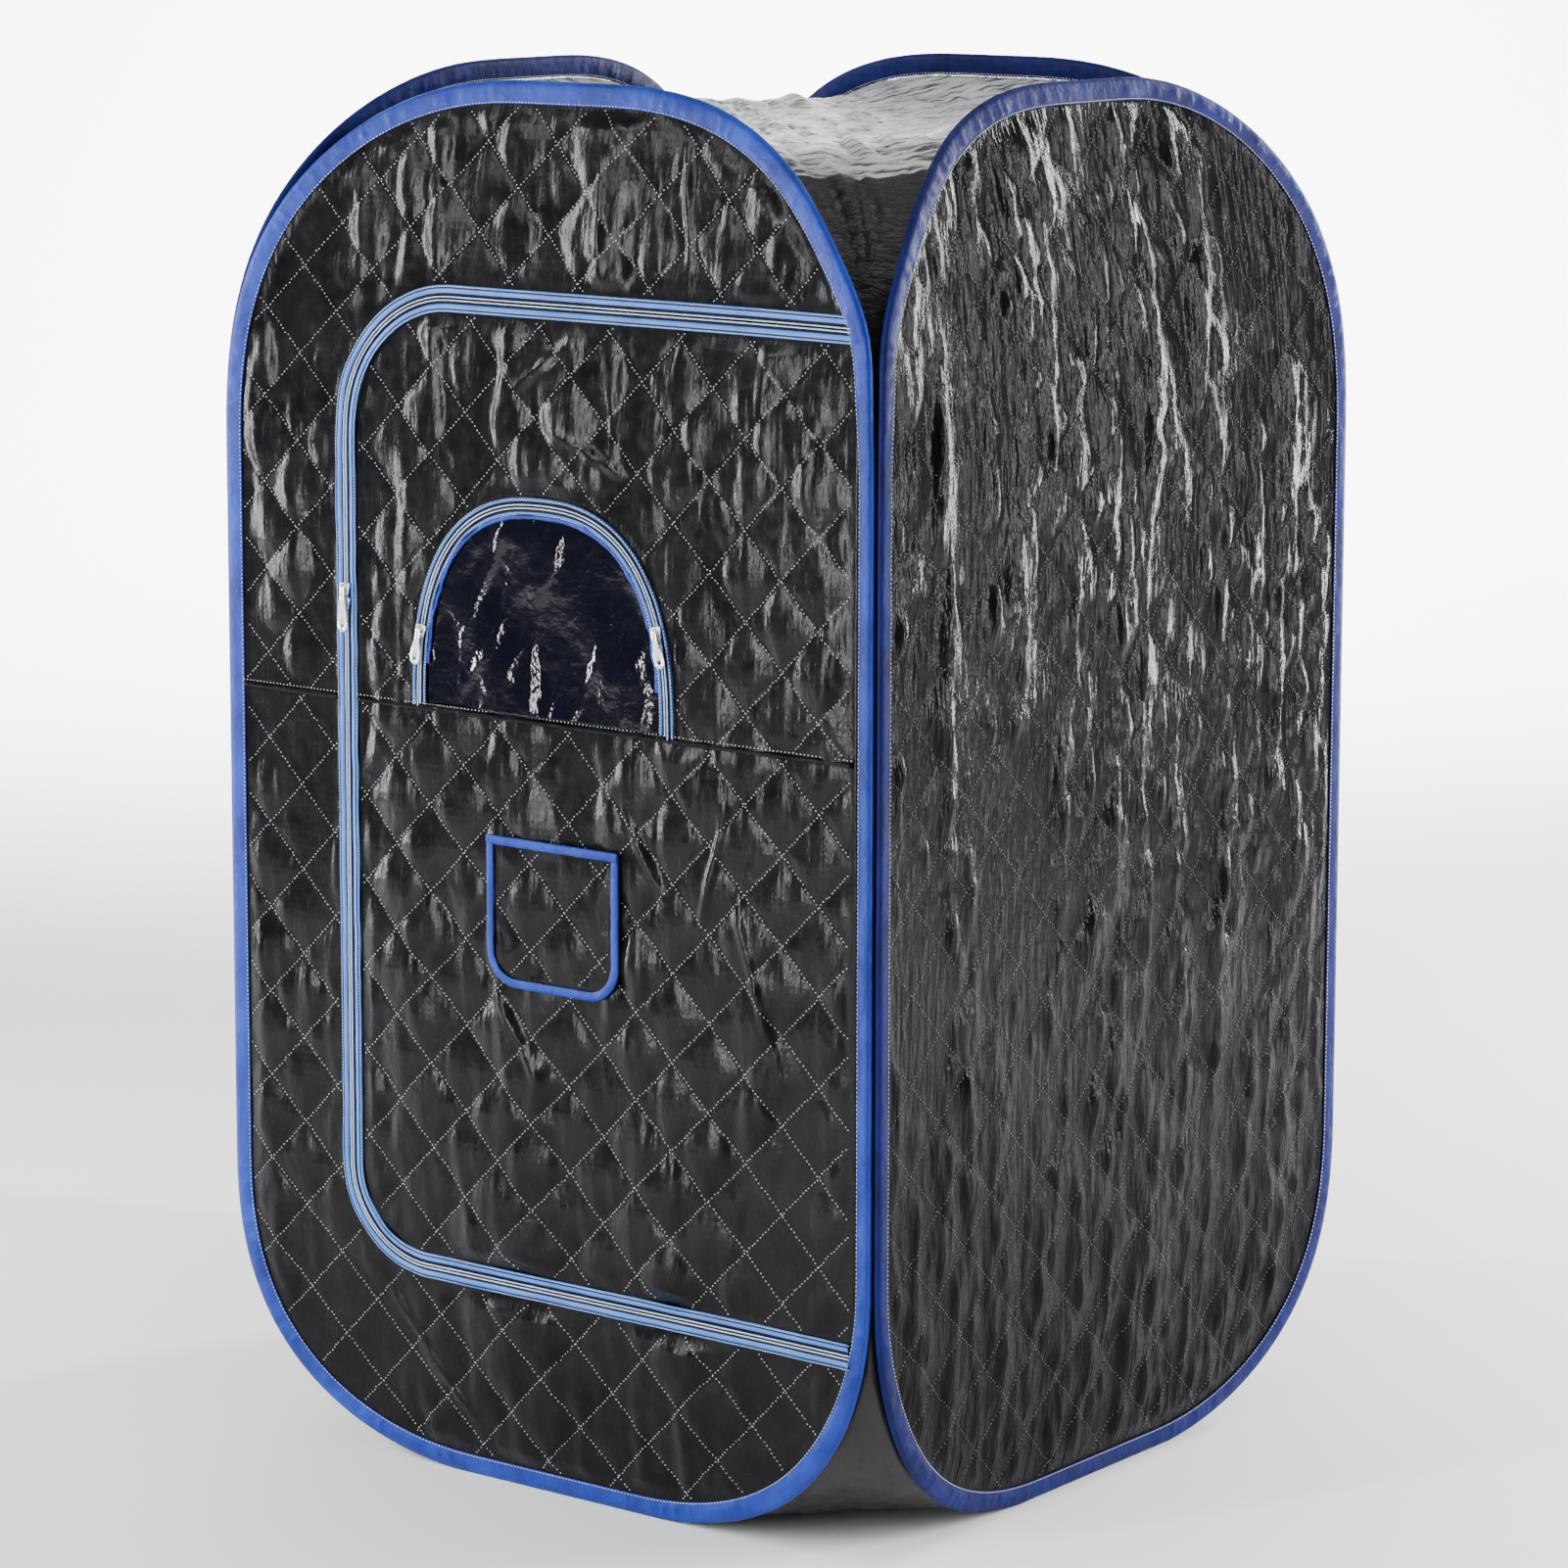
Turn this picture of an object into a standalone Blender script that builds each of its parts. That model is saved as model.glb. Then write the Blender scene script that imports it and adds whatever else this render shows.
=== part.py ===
"""Portable steam sauna: four quilted walls on spring-steel hoops, with a zipped door and window.

Metres, +Z up. The origin is on the floor, at the middle of the footprint. The door wall faces -Y.
Each wall is drawn in its own flat frame and then leaned inward a little towards its top and
bottom: u runs along the wall, v goes inward through its thickness, z goes up.
"""

import math

import bmesh
import bpy
import numpy
from mathutils import Matrix, Vector

# Overall size: the square footprint between the walls' middle planes, and the height.
WIDTH = 0.90
HEIGHT = 1.54
HALF = WIDTH / 2

# Each wall is a rounded rectangle whose corners are quarter superellipses.
TOP_CORNER = (0.390, 0.400)
BOTTOM_CORNER = (0.340, 0.320)
CORNER_EXPONENT = 2.3
TOP_CORNER_STEPS = 7
BOTTOM_CORNER_STEPS = 6

# The hoops lean inward above and below their straight sides, most at mid-width.
TOP_LEAN = 0.060
BOTTOM_LEAN = 0.028
LEAN_POWER = 1.4
LEAN_FADE = 4

# Binding tape folded round the wall's edge, with the steel hoop inside it.
BINDING_THICKNESS = 0.009
BINDING_DEPTH = 0.022
BINDING_WALL = 0.001
EDGE_GAP = 0.0052
PANEL_HALF = HALF - EDGE_GAP
HOOP_RADIUS = 0.002
HOOP_INSET = 0.0045
FERRULE_RADII = (0.00235, 0.0029)
FERRULE_Z = (0.50, 0.53)

# Layers of a wall, as (outer, inner) offsets through its thickness.
QUILT_INSET = 0.009
QUILT_LAYER = (-0.0024, 0.0010)
LINING_LAYER = (0.0014, 0.0022)
PLAIN_COLUMNS = (-1, -0.72, -0.38, 0, 0.38, 0.72, 1)
DOOR_COLUMNS = (-1, -0.90, -0.75, -0.55, -0.30, 0, 0.30, 0.55, 0.75, 0.90, 1)

# The door opens along a C-shaped zip and turns on its right-hand edge.
DOOR_LEFT = -0.268
DOOR_TOP = 1.309
DOOR_BOTTOM = 0.236
DOOR_TOP_RADIUS = 0.135
DOOR_BOTTOM_RADIUS = 0.105
DOOR_ZIP_END = 0.386
ZIP_TOP_STATIONS = (0.35, 0.30, 0.21, 0.10, 0.0)
ZIP_BOTTOM_STATIONS = (0.0, 0.15, 0.27, 0.35)
DOOR_EDGE = 0.3975
DOORWAY_EDGE = 0.3990
DOOR_AXIS_U = 0.3983
HINGE_V = -0.0066

# The arched window flap in the door turns on its straight bottom edge.
WINDOW_CENTRE = 0.0085
WINDOW_BASE = 0.868
WINDOW_HALF_WIDTH = 0.172
WINDOW_RISE = 0.228
WINDOW_EXPONENT = 2.5
WINDOW_STEPS = 18
PANE_LAYER = (-0.0024, -0.0012)
WINDOW_HOLE_FOOT = WINDOW_BASE - 0.0005
PANE_FOOT = WINDOW_BASE + 0.0012
WINDOW_ZIP_FOOT = WINDOW_BASE + 0.0020

# Zips: two tapes, each with a coil along its inner edge.
ZIP_GAP = 0.0011
COIL_WIDTH = 0.0027
COIL_LAYER = (-0.0060, -0.0020)
TAPE_LAYER = (-0.0042, -0.0030)
DOOR_TAPE = 0.0145
WINDOW_TAPE = 0.0100
FABRIC_SETBACK = 0.006
WINDOW_SETBACK = 0.005

# Zip sliders and the pulls that hang from them. A slider is an outer plate with two flanges
# down to the coils. The door's also have a post and an inner plate. Two ears and a bar hold the
# pull, outside on the upper door slider and inside on the lower one.
SLIDER_LENGTH = 0.014
SLIDER_HALF_WIDTH = 0.0075
SLIDER_PLATE = (-0.0086, -0.0066)
SLIDER_FLANGE = (-0.0070, -0.0048)
FLANGE_THICKNESS = 0.0012
EAR_SIDES = (0.0026, 0.0038)
EAR_LAYER = (-0.0132, -0.0080)
EAR_Z = (-0.0020, 0.0040)
BAR_Z = 0.0010
BAR_HALF = 0.0007
POST_HALF = 0.0008
INNER_PLATE_U = (-0.0006, 0.0056)
INNER_PLATE_LAYER = (-0.0012, 0.0006)
INNER_EARS = ((-0.0004, 0.0002), (0.0048, 0.0054))
PULL_AXIS_V = -0.0122
PULL_HALF_WIDTH = 0.0070
PULL_HALF_THICKNESS = 0.0006
PULL_CHAMFER = 0.0030
PULL_SHOULDER = (0.0060, 0.0100)
DOOR_PULL_LENGTH = 0.048
WINDOW_PULL_LENGTH = 0.038
KNUCKLE_HALF = 0.0022
INNER_KNUCKLE_HALF = 0.0019
KNUCKLE_REACH = 0.0022
KNUCKLE_BORE = 0.0013
EYE_HALF = 0.0018
DOOR_SLIDER_Z = {"upper": 0.984, "lower": 0.9675}
WINDOW_SLIDER_Z = {"left": 0.948, "right": 0.976}
INNER_PULL_V = 0.0058

# Patch pocket on the door, open at the top.
POCKET_CENTRE = 0.027
POCKET_HALF_WIDTH = 0.091
POCKET_Z = (0.571, 0.735)
POCKET_RADIUS = 0.040
POCKET_LAYER = (-0.0096, -0.0030)
POCKET_SKIN = 0.0015
POCKET_BAND = 0.009
BAND_GAP = 0.0004
BAND_THICKNESS = 0.0010
BAND_OVERHANG = 0.0008

# Steam inlet, low on the rear wall: a flanged hose spigot and its lock nut.
INLET_U = 0.20
INLET_Z = 0.36
INLET_BORE = 0.017
SPIGOT_RADIUS = 0.020
SPIGOT_LENGTH = 0.036
FLANGE_RADIUS = 0.038
FLANGE_LAYER = (-0.0070, -0.0030)
NUT_RADIUS = 0.033
NUT_LAYER = (0.0028, 0.0100)
NUT_CLEARANCE = 0.0005
SPIGOT_INNER_REACH = 0.003
INLET_HOLE = 0.0215
ROUND_STEPS = 24

# Roof and floor sheets, tucked inside the bindings.
SHEET_INSET = 0.0075
SHEET_DROP = 0.024
SHEET_THICKNESS = 0.0016
SHEET_COLUMNS = 12

# Fabric walls hinge on each other along their corner seams. The seams that close have their
# axis on the inside of the corner, and the seams that open have it on the outside.
AXIS_OFFSET = BINDING_THICKNESS / 2
FOLD_LIMIT = math.radians(60)
CUT_RANGE = (-0.03, 0.10)
OVERCUT = 0.01
WELD = 0.00001

WALLS = ("door_wall", "right_wall", "rear_wall", "left_wall")

COLOURS = {
    "quilt": ((0.012, 0.012, 0.014), 0.35, 0.0),
    "lining": ((0.60, 0.61, 0.63), 0.38, 0.0),
    "binding_bright": ((0.045, 0.110, 0.420), 0.55, 0.0),
    "binding_dark": ((0.014, 0.022, 0.130), 0.55, 0.0),
    "spring_steel": ((0.42, 0.43, 0.45), 0.35, 1.0),
    "crimp_metal": ((0.62, 0.62, 0.63), 0.40, 1.0),
    "zip_tape": ((0.100, 0.290, 0.560), 0.60, 0.0),
    "zip_metal": ((0.78, 0.79, 0.80), 0.28, 1.0),
    "window_film": ((0.020, 0.024, 0.060), 0.08, 0.0),
    "roof_sheet": ((0.32, 0.33, 0.34), 0.30, 0.0),
    "floor_sheet": ((0.020, 0.020, 0.022), 0.50, 0.0),
    "inlet_plastic": ((0.030, 0.030, 0.032), 0.45, 0.0),
}


def clear_scene():
    for item in list(bpy.data.objects):
        bpy.data.objects.remove(item)


def make_material(name):
    colour, roughness, metallic = COLOURS[name]
    material = bpy.data.materials.new(name)
    material.use_nodes = True
    shader = material.node_tree.nodes["Principled BSDF"]
    shader.inputs["Base Color"].default_value = (*colour, 1)
    shader.inputs["Roughness"].default_value = roughness
    shader.inputs["Metallic"].default_value = metallic
    return material


# ---- Shapes in a wall's own frame


def corner_arc(width, height, steps, exponent=CORNER_EXPONENT):
    """Quarter superellipse from (width, 0) to (0, height)."""
    points = []
    for step in range(steps + 1):
        angle = math.pi / 2 * step / steps
        across = max(math.cos(angle), 0.0) if step < steps else 0.0
        points.append((width * across ** (2 / exponent), height * math.sin(angle) ** (2 / exponent)))
    return points


def right_edge(inset):
    """A wall's right-hand edge, bottom to top, as (half width, z), moved in by inset."""
    wide, tall = BOTTOM_CORNER
    low = [
        (PANEL_HALF - wide + x, tall - z)
        for x, z in corner_arc(wide - inset, tall - inset, BOTTOM_CORNER_STEPS)
    ]
    wide, tall = TOP_CORNER
    high = [
        (PANEL_HALF - wide + x, HEIGHT - tall + z)
        for x, z in corner_arc(wide - inset, tall - inset, TOP_CORNER_STEPS)
    ]
    return low[::-1] + high


def wall_ring(inset):
    """The whole outline of a wall as (u, z), moved in by inset."""
    edge = right_edge(inset)
    return edge + [(-u, z) for u, z in reversed(edge)]


def lean_at_middle(z):
    above = max(0.0, (z - (HEIGHT - TOP_CORNER[1])) / TOP_CORNER[1])
    below = max(0.0, (BOTTOM_CORNER[1] - z) / BOTTOM_CORNER[1])
    return TOP_LEAN * above**LEAN_POWER + BOTTOM_LEAN * below**LEAN_POWER


LEAN_ROWS = [z for _, z in right_edge(QUILT_INSET)]
LEAN_VALUES = [lean_at_middle(z) for z in LEAN_ROWS]


def lean(u, z):
    """How far a wall leans inward at a point of it. It is straight between the rows that the
    panels are built on, so that every layer and zip stays parallel to them."""
    fade = 1 - min(1.0, abs(u) / HALF) ** LEAN_FADE
    return float(numpy.interp(z, LEAN_ROWS, LEAN_VALUES)) * fade


def wall_point(u, v, z):
    """World position of a point of the door wall; the other walls are quarter turns of it."""
    return Vector((u, -HALF + v + lean(u, z), z))


def door_path(offset):
    """The door's zip line as (u, z), moved outward by offset, from the top right to the bottom right."""
    top, bottom = DOOR_TOP + offset, DOOR_BOTTOM - offset
    points = [(u, top) for u in (DOOR_ZIP_END,) + ZIP_TOP_STATIONS]
    for radius, centre_z, start in (
        (DOOR_TOP_RADIUS, DOOR_TOP - DOOR_TOP_RADIUS, 90),
        (DOOR_BOTTOM_RADIUS, DOOR_BOTTOM + DOOR_BOTTOM_RADIUS, 180),
    ):
        for step in range(7):
            angle = math.radians(start + 15 * step)
            u = DOOR_LEFT + radius + (radius + offset) * math.cos(angle)
            points.append((u, centre_z + (radius + offset) * math.sin(angle)))
        if start == 90:
            points.append((DOOR_LEFT - offset, HEIGHT - TOP_CORNER[1]))
    points += [(u, bottom) for u in ZIP_BOTTOM_STATIONS + (DOOR_ZIP_END,)]
    return points


def door_area(offset, right):
    """The door's outline, moved outward by offset, with its straight right-hand edge at right."""
    path = door_path(offset)
    return [(right, path[0][1])] + path[1:-1] + [(right, path[-1][1])]


def window_path(offset):
    """The window's zip line as (u, z), moved outward by offset, from its right foot to its left."""
    quarter = corner_arc(
        WINDOW_HALF_WIDTH + offset, WINDOW_RISE + offset, WINDOW_STEPS // 2, WINDOW_EXPONENT
    )
    right = [(WINDOW_CENTRE + x, WINDOW_BASE + z) for x, z in quarter]
    left = [(WINDOW_CENTRE - x, WINDOW_BASE + z) for x, z in reversed(quarter[:-1])]
    return right + left


def window_area(offset, foot):
    """The window's outline, moved outward by offset, with its straight bottom edge at z = foot."""
    path = window_path(offset)
    return [(path[0][0], foot)] + path[1:-1] + [(path[-1][0], foot)]


def pocket_area(inset, top):
    """The pocket's outline, moved in by inset, up to z = top."""
    radius = POCKET_RADIUS - inset
    points = [(POCKET_CENTRE + POCKET_HALF_WIDTH - inset, top)]
    for side, start in ((1, 0), (-1, 270)):
        centre_u = POCKET_CENTRE + side * (POCKET_HALF_WIDTH - POCKET_RADIUS)
        for step in range(5):
            angle = math.radians(start - 22.5 * step)
            u = centre_u + radius * math.cos(angle)
            points.append((u, POCKET_Z[0] + POCKET_RADIUS + radius * math.sin(angle)))
    points.append((POCKET_CENTRE - POCKET_HALF_WIDTH + inset, top))
    return points


# ---- Mesh builders: each returns a bmesh in world coordinates


def bridge_loops(bm, loops, closed_path, closed_section):
    """Joins rows of vertices into faces. loops[j][i] is point i of the path at section point j."""
    rows, steps = len(loops), len(loops[0])
    for j in range(rows if closed_section else rows - 1):
        for i in range(steps if closed_path else steps - 1):
            k, m = (j + 1) % rows, (i + 1) % steps
            bm.faces.new((loops[j][i], loops[j][m], loops[k][m], loops[k][i]))


def finished(bm):
    bmesh.ops.recalc_face_normals(bm, faces=bm.faces)
    return bm


def swept(section, path, closed_path):
    """A bar of the given (offset, v) section. path(offset) gives its line at that offset."""
    bm = bmesh.new()
    loops = [[bm.verts.new(wall_point(u, v, z)) for u, z in path(offset)] for offset, v in section]
    bridge_loops(bm, loops, closed_path, True)
    if not closed_path:
        for end in (0, -1):
            bm.faces.new([loop[end] for loop in loops])
    return finished(bm)


def panel(layer, columns):
    """One layer of a wall: a leaned sheet between the layer's two offsets."""
    bm = bmesh.new()
    edge = right_edge(QUILT_INSET)
    sides = [
        [[bm.verts.new(wall_point(s * half, v, z)) for s in columns] for half, z in edge]
        for v in layer
    ]
    for side in sides:
        bridge_loops(bm, side, False, False)
    rims = []
    for side in sides:
        right = [row[-1] for row in side]
        left = [row[0] for row in side]
        rims.append(side[0][:-1] + right[:-1] + side[-1][:0:-1] + left[:0:-1])
    bridge_loops(bm, rims, True, False)
    bmesh.ops.triangulate(bm, faces=bm.faces)
    return finished(bm)


def prism(area, low_v, high_v, leaned=False):
    """A block with the given (u, z) outline, between two offsets through the wall."""
    bm = bmesh.new()
    loops = []
    for v in (low_v, high_v):
        points = [wall_point(u, v, z) if leaned else Vector((u, v - HALF, z)) for u, z in area]
        loops.append([bm.verts.new(point) for point in points])
        bm.faces.new(loops[-1])
    bridge_loops(bm, loops, True, False)
    return finished(bm)


def box(low, high):
    bm = bmesh.new()
    bmesh.ops.create_cube(bm, size=1)
    low, high = Vector(low), Vector(high)
    for vert in bm.verts:
        vert.co = Vector(low[k] + (high[k] - low[k]) * (vert.co[k] + 0.5) for k in range(3))
    return bm


def tube(profile, centre, steps=ROUND_STEPS):
    """A ring turned about a line along Y. profile is its (radius, y) section."""
    bm = bmesh.new()
    loops = []
    for radius, y in profile:
        loop = []
        for step in range(steps):
            angle = 2 * math.pi * step / steps
            loop.append(
                bm.verts.new(centre + Vector((radius * math.cos(angle), y, radius * math.sin(angle))))
            )
        loops.append(loop)
    bridge_loops(bm, loops, True, True)
    return finished(bm)


# ---- Objects


def pivot(name, position, parent=None):
    """An empty on a joint's axis. World position goes in; the empties aren't turned."""
    empty = bpy.data.objects.new(name, None)
    bpy.context.scene.collection.objects.link(empty)
    empty["world"] = list(position)
    base = Vector(parent["world"]) if parent else Vector()
    empty.parent = parent
    empty.location = Vector(position) - base
    return empty


def add_object(name, bm, material, parent, quarter_turns=0):
    """Turns a world-space bmesh to its wall and hangs it on a pivot."""
    bm.transform(Matrix.Rotation(math.pi / 2 * quarter_turns, 4, "Z"))
    bm.transform(Matrix.Translation(-Vector(parent["world"])))
    mesh = bpy.data.meshes.new(name)
    bm.to_mesh(mesh)
    bm.free()
    item = bpy.data.objects.new(name, mesh)
    bpy.context.scene.collection.objects.link(item)
    item.parent = parent
    item.data.materials.append(material)
    return item


def tidy_mesh(mesh):
    """Welds the slivers that a cut leaves, and splits its faces into triangles."""
    bm = bmesh.new()
    bm.from_mesh(mesh)
    bmesh.ops.remove_doubles(bm, verts=bm.verts, dist=WELD)
    bmesh.ops.dissolve_degenerate(bm, edges=bm.edges, dist=WELD)
    bmesh.ops.triangulate(bm, faces=bm.faces)
    bm.to_mesh(mesh)
    bm.free()


def combine(item, bm, operation, quarter_turns=0):
    """Joins, cuts or intersects an object with a world-space shape."""
    cutter = add_object("cutter", bm, item.data.materials[0], item.parent, quarter_turns)
    modifier = item.modifiers.new(operation.lower(), "BOOLEAN")
    modifier.operation = operation
    modifier.solver = "EXACT"
    modifier.object = cutter
    bpy.context.view_layer.update()
    graph = bpy.context.evaluated_depsgraph_get()
    mesh = bpy.data.meshes.new_from_object(item.evaluated_get(graph))
    item.modifiers.clear()
    item.data = mesh
    bpy.data.objects.remove(cutter)
    tidy_mesh(mesh)


def smooth(item, degrees=30):
    item.data.shade_smooth()
    item.data.set_sharp_from_angle(angle=math.radians(degrees))


def hoop_section(radius):
    return [
        (HOOP_INSET + radius * math.cos(math.radians(a)), radius * math.sin(math.radians(a)))
        for a in range(0, 360, 60)
    ]


def build_wall_edge(name, turns, parent, materials):
    """Binding tape, steel hoop and crimp ferrule of one wall."""
    half, inner = BINDING_THICKNESS / 2, BINDING_THICKNESS / 2 - BINDING_WALL
    channel = [
        (0, -half),
        (0, half),
        (BINDING_DEPTH, half),
        (BINDING_DEPTH, inner),
        (BINDING_WALL, inner),
        (BINDING_WALL, -inner),
        (BINDING_DEPTH, -inner),
        (BINDING_DEPTH, -half),
    ]
    tape = materials["binding_bright" if name == "door_wall" else "binding_dark"]
    add_object(name + "_binding", swept(channel, wall_ring, True), tape, parent, turns)
    wire = swept(hoop_section(HOOP_RADIUS), wall_ring, True)
    smooth(add_object(name + "_hoop", wire, materials["spring_steel"], parent, turns), 40)

    def sleeve_line(inset):
        return [(-PANEL_HALF + inset, z) for z in FERRULE_Z]

    bm = bmesh.new()
    rings = []
    for radius in FERRULE_RADII:
        section = hoop_section(radius)
        for end in (0, 1):
            points = [sleeve_line(offset)[end] + (v,) for offset, v in section]
            rings.append([bm.verts.new(wall_point(u, v, z)) for u, z, v in points])
    inner_low, inner_high, outer_low, outer_high = rings
    bridge_loops(bm, [inner_low, inner_high, outer_high, outer_low], True, True)
    add_object(name + "_ferrule", finished(bm), materials["crimp_metal"], parent, turns)


def build_plain_wall(name, turns, parent, materials):
    """Quilt and lining of a wall with no door. Returns both."""
    made = []
    for part, layer in (("quilt", QUILT_LAYER), ("lining", LINING_LAYER)):
        sheet = panel(layer, PLAIN_COLUMNS)
        made.append(add_object(f"{name}_{part}", sheet, materials[part], parent, turns))
    return made


def build_door_wall(parent, door, materials):
    """The door wall's two layers round the doorway, and the door's own two layers."""
    for part, layer in (("quilt", QUILT_LAYER), ("lining", LINING_LAYER)):
        wall = add_object("door_wall_" + part, panel(layer, DOOR_COLUMNS), materials[part], parent)
        doorway = prism(door_area(FABRIC_SETBACK, DOORWAY_EDGE), *CUT_RANGE)
        combine(wall, doorway, "DIFFERENCE")
        leaf = add_object("door_" + part, panel(layer, DOOR_COLUMNS), materials[part], door)
        combine(leaf, prism(door_area(-FABRIC_SETBACK, DOOR_EDGE), *CUT_RANGE), "INTERSECT")
        hole = window_area(WINDOW_SETBACK, WINDOW_HOLE_FOOT)
        combine(leaf, prism(hole, *CUT_RANGE), "DIFFERENCE")


def zip_section(side, tape):
    """Half a zip in section: the coil beside the gap and the tape outside it. side is 1 or -1."""
    coil = ZIP_GAP + COIL_WIDTH
    points = [
        (ZIP_GAP, COIL_LAYER[0]),
        (coil, COIL_LAYER[0]),
        (coil, TAPE_LAYER[0]),
        (tape, TAPE_LAYER[0]),
        (tape, TAPE_LAYER[1]),
        (coil, TAPE_LAYER[1]),
        (coil, COIL_LAYER[1]),
        (ZIP_GAP, COIL_LAYER[1]),
    ]
    return [(side * offset, v) for offset, v in points]


def build_zips(wall, door, flap, materials):
    for name, side, tape, path, parent in (
        ("doorway_zip_half", 1, DOOR_TAPE, door_path, wall),
        ("door_zip_half", -1, DOOR_TAPE, door_path, door),
        ("window_frame_zip_half", 1, WINDOW_TAPE, window_path, door),
        ("window_flap_zip_half", -1, WINDOW_TAPE, window_path, flap),
    ):
        bar = swept(zip_section(side, tape), path, False)
        if path is window_path:
            item = add_object(name, bar, materials["zip_tape"], parent)
            below = box((-HALF, -HALF + CUT_RANGE[0], 0), (HALF, 0, WINDOW_ZIP_FOOT))
            combine(item, below, "DIFFERENCE")
        else:
            add_object(name, bar, materials["zip_tape"], parent)


def turn_about(centre, tilt):
    """Turns things in the plane of the wall, about a point of it."""
    there = Matrix.Translation(centre)
    return there @ Matrix.Rotation(tilt, 4, "Y") @ there.inverted()


def build_slider(name, centre, material, parent, tilt=0.0, pull_side="outer", both_plates=False):
    """A zip slider. centre is the point of the zip line that it sits on, in world coordinates."""

    def part(u, v, z):
        low = centre + Vector((u[0], v[0], z[0]))
        shape = box(low, centre + Vector((u[1], v[1], z[1])))
        shape.transform(turn_about(centre, tilt))
        return shape

    wide = SLIDER_HALF_WIDTH
    whole = (-SLIDER_LENGTH / 2, SLIDER_LENGTH / 2)
    bar_z = (BAR_Z - BAR_HALF, BAR_Z + BAR_HALF)
    bar_v = (PULL_AXIS_V - BAR_HALF, PULL_AXIS_V + BAR_HALF)
    item = add_object(name, part((-wide, wide), SLIDER_PLATE, whole), material, parent)
    shapes = []
    for side in (-1, 1):
        flange = sorted((side * (wide - FLANGE_THICKNESS), side * wide))
        shapes.append(part(flange, SLIDER_FLANGE, whole))
        if pull_side == "outer":
            shapes.append(part(sorted(side * edge for edge in EAR_SIDES), EAR_LAYER, EAR_Z))
    if pull_side == "outer":
        shapes.append(part((-EAR_SIDES[0] - BAR_HALF, EAR_SIDES[0] + BAR_HALF), bar_v, bar_z))
    if both_plates:
        post = (SLIDER_PLATE[1] - BAR_HALF, (INNER_PLATE_LAYER[0] + INNER_PLATE_LAYER[1]) / 2)
        shapes.append(part((-POST_HALF, POST_HALF), post, (whole[0] / 2, whole[1] / 2)))
        shapes.append(part(INNER_PLATE_U, INNER_PLATE_LAYER, whole))
    if pull_side == "inner":
        for ear in INNER_EARS:
            reach = (INNER_PLATE_LAYER[1] - BAR_HALF / 2, INNER_PULL_V + KNUCKLE_BORE)
            shapes.append(part(ear, reach, EAR_Z))
        bar_u = (INNER_EARS[0][0] + BAR_HALF / 2, INNER_EARS[1][0] + BAR_HALF / 2)
        shapes.append(part(bar_u, (INNER_PULL_V - BAR_HALF, INNER_PULL_V + BAR_HALF), bar_z))
    for shape in shapes:
        combine(item, shape, "UNION")


def build_pull(name, axis_point, length, material, parent, tilt=0.0, knuckle=KNUCKLE_HALF):
    """A flat pull that hangs from its slider's bar. axis_point is the middle of the bar."""
    turn = turn_about(axis_point, tilt)
    wide = PULL_HALF_WIDTH
    shoulder_top, shoulder_end = PULL_SHOULDER
    right = [
        (knuckle, 0),
        (knuckle, -shoulder_top),
        (wide, -shoulder_end),
        (wide, -length + PULL_CHAMFER),
        (wide - PULL_CHAMFER, -length),
    ]
    outline = right + [(-u, z) for u, z in reversed(right)]
    bm = bmesh.new()
    loops = []
    for side in (-PULL_HALF_THICKNESS, PULL_HALF_THICKNESS):
        loops.append([bm.verts.new(axis_point + Vector((u, side, z))) for u, z in outline])
        bm.faces.new(loops[-1])
    bridge_loops(bm, loops, True, False)
    bm.transform(turn)
    item = add_object(name, finished(bm), material, parent)
    reach = Vector((knuckle, KNUCKLE_REACH, KNUCKLE_REACH))
    bore = Vector((2 * knuckle, KNUCKLE_BORE, KNUCKLE_BORE))
    eye_centre = axis_point + Vector((0, 0, -length + PULL_CHAMFER + 2 * EYE_HALF))
    eye = Vector((EYE_HALF, 2 * KNUCKLE_REACH, EYE_HALF))
    for operation, middle, half in (
        ("UNION", axis_point, reach),
        ("DIFFERENCE", axis_point, bore),
        ("DIFFERENCE", eye_centre, eye),
    ):
        shape = box(middle - half, middle + half)
        shape.transform(turn)
        combine(item, shape, operation)


def build_door_sliders(door, material):
    """The upper slider, with its pull outside, and the lower one, with its pull inside."""
    ear_middle = (INNER_EARS[0][1] + INNER_EARS[1][0]) / 2
    for level, side, hang, knuckle in (
        ("upper", "outer", Vector((0, PULL_AXIS_V, BAR_Z)), KNUCKLE_HALF),
        ("lower", "inner", Vector((ear_middle, INNER_PULL_V, BAR_Z)), INNER_KNUCKLE_HALF),
    ):
        name = "door_slider_" + level
        centre = Vector((DOOR_LEFT, -HALF, DOOR_SLIDER_Z[level]))
        carrier = pivot(name + "_axis", centre, door)
        build_slider(name, centre, material, carrier, pull_side=side, both_plates=True)
        name = "door_pull_" + side
        axis = pivot(name + "_axis", centre + hang, carrier)
        build_pull(name, centre + hang, DOOR_PULL_LENGTH, material, axis, knuckle=knuckle)


def window_zip_point(side, z):
    """A point of the window's zip line on its left (-1) or right (1), and the line's tilt there."""
    rise = (z - WINDOW_BASE) / WINDOW_RISE
    fall = 1 - rise**WINDOW_EXPONENT
    reach = WINDOW_HALF_WIDTH * fall ** (1 / WINDOW_EXPONENT)
    slope = reach / WINDOW_RISE * rise ** (WINDOW_EXPONENT - 1) / fall
    return Vector((WINDOW_CENTRE + side * reach, -HALF, z)), -side * math.atan(slope)


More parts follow.
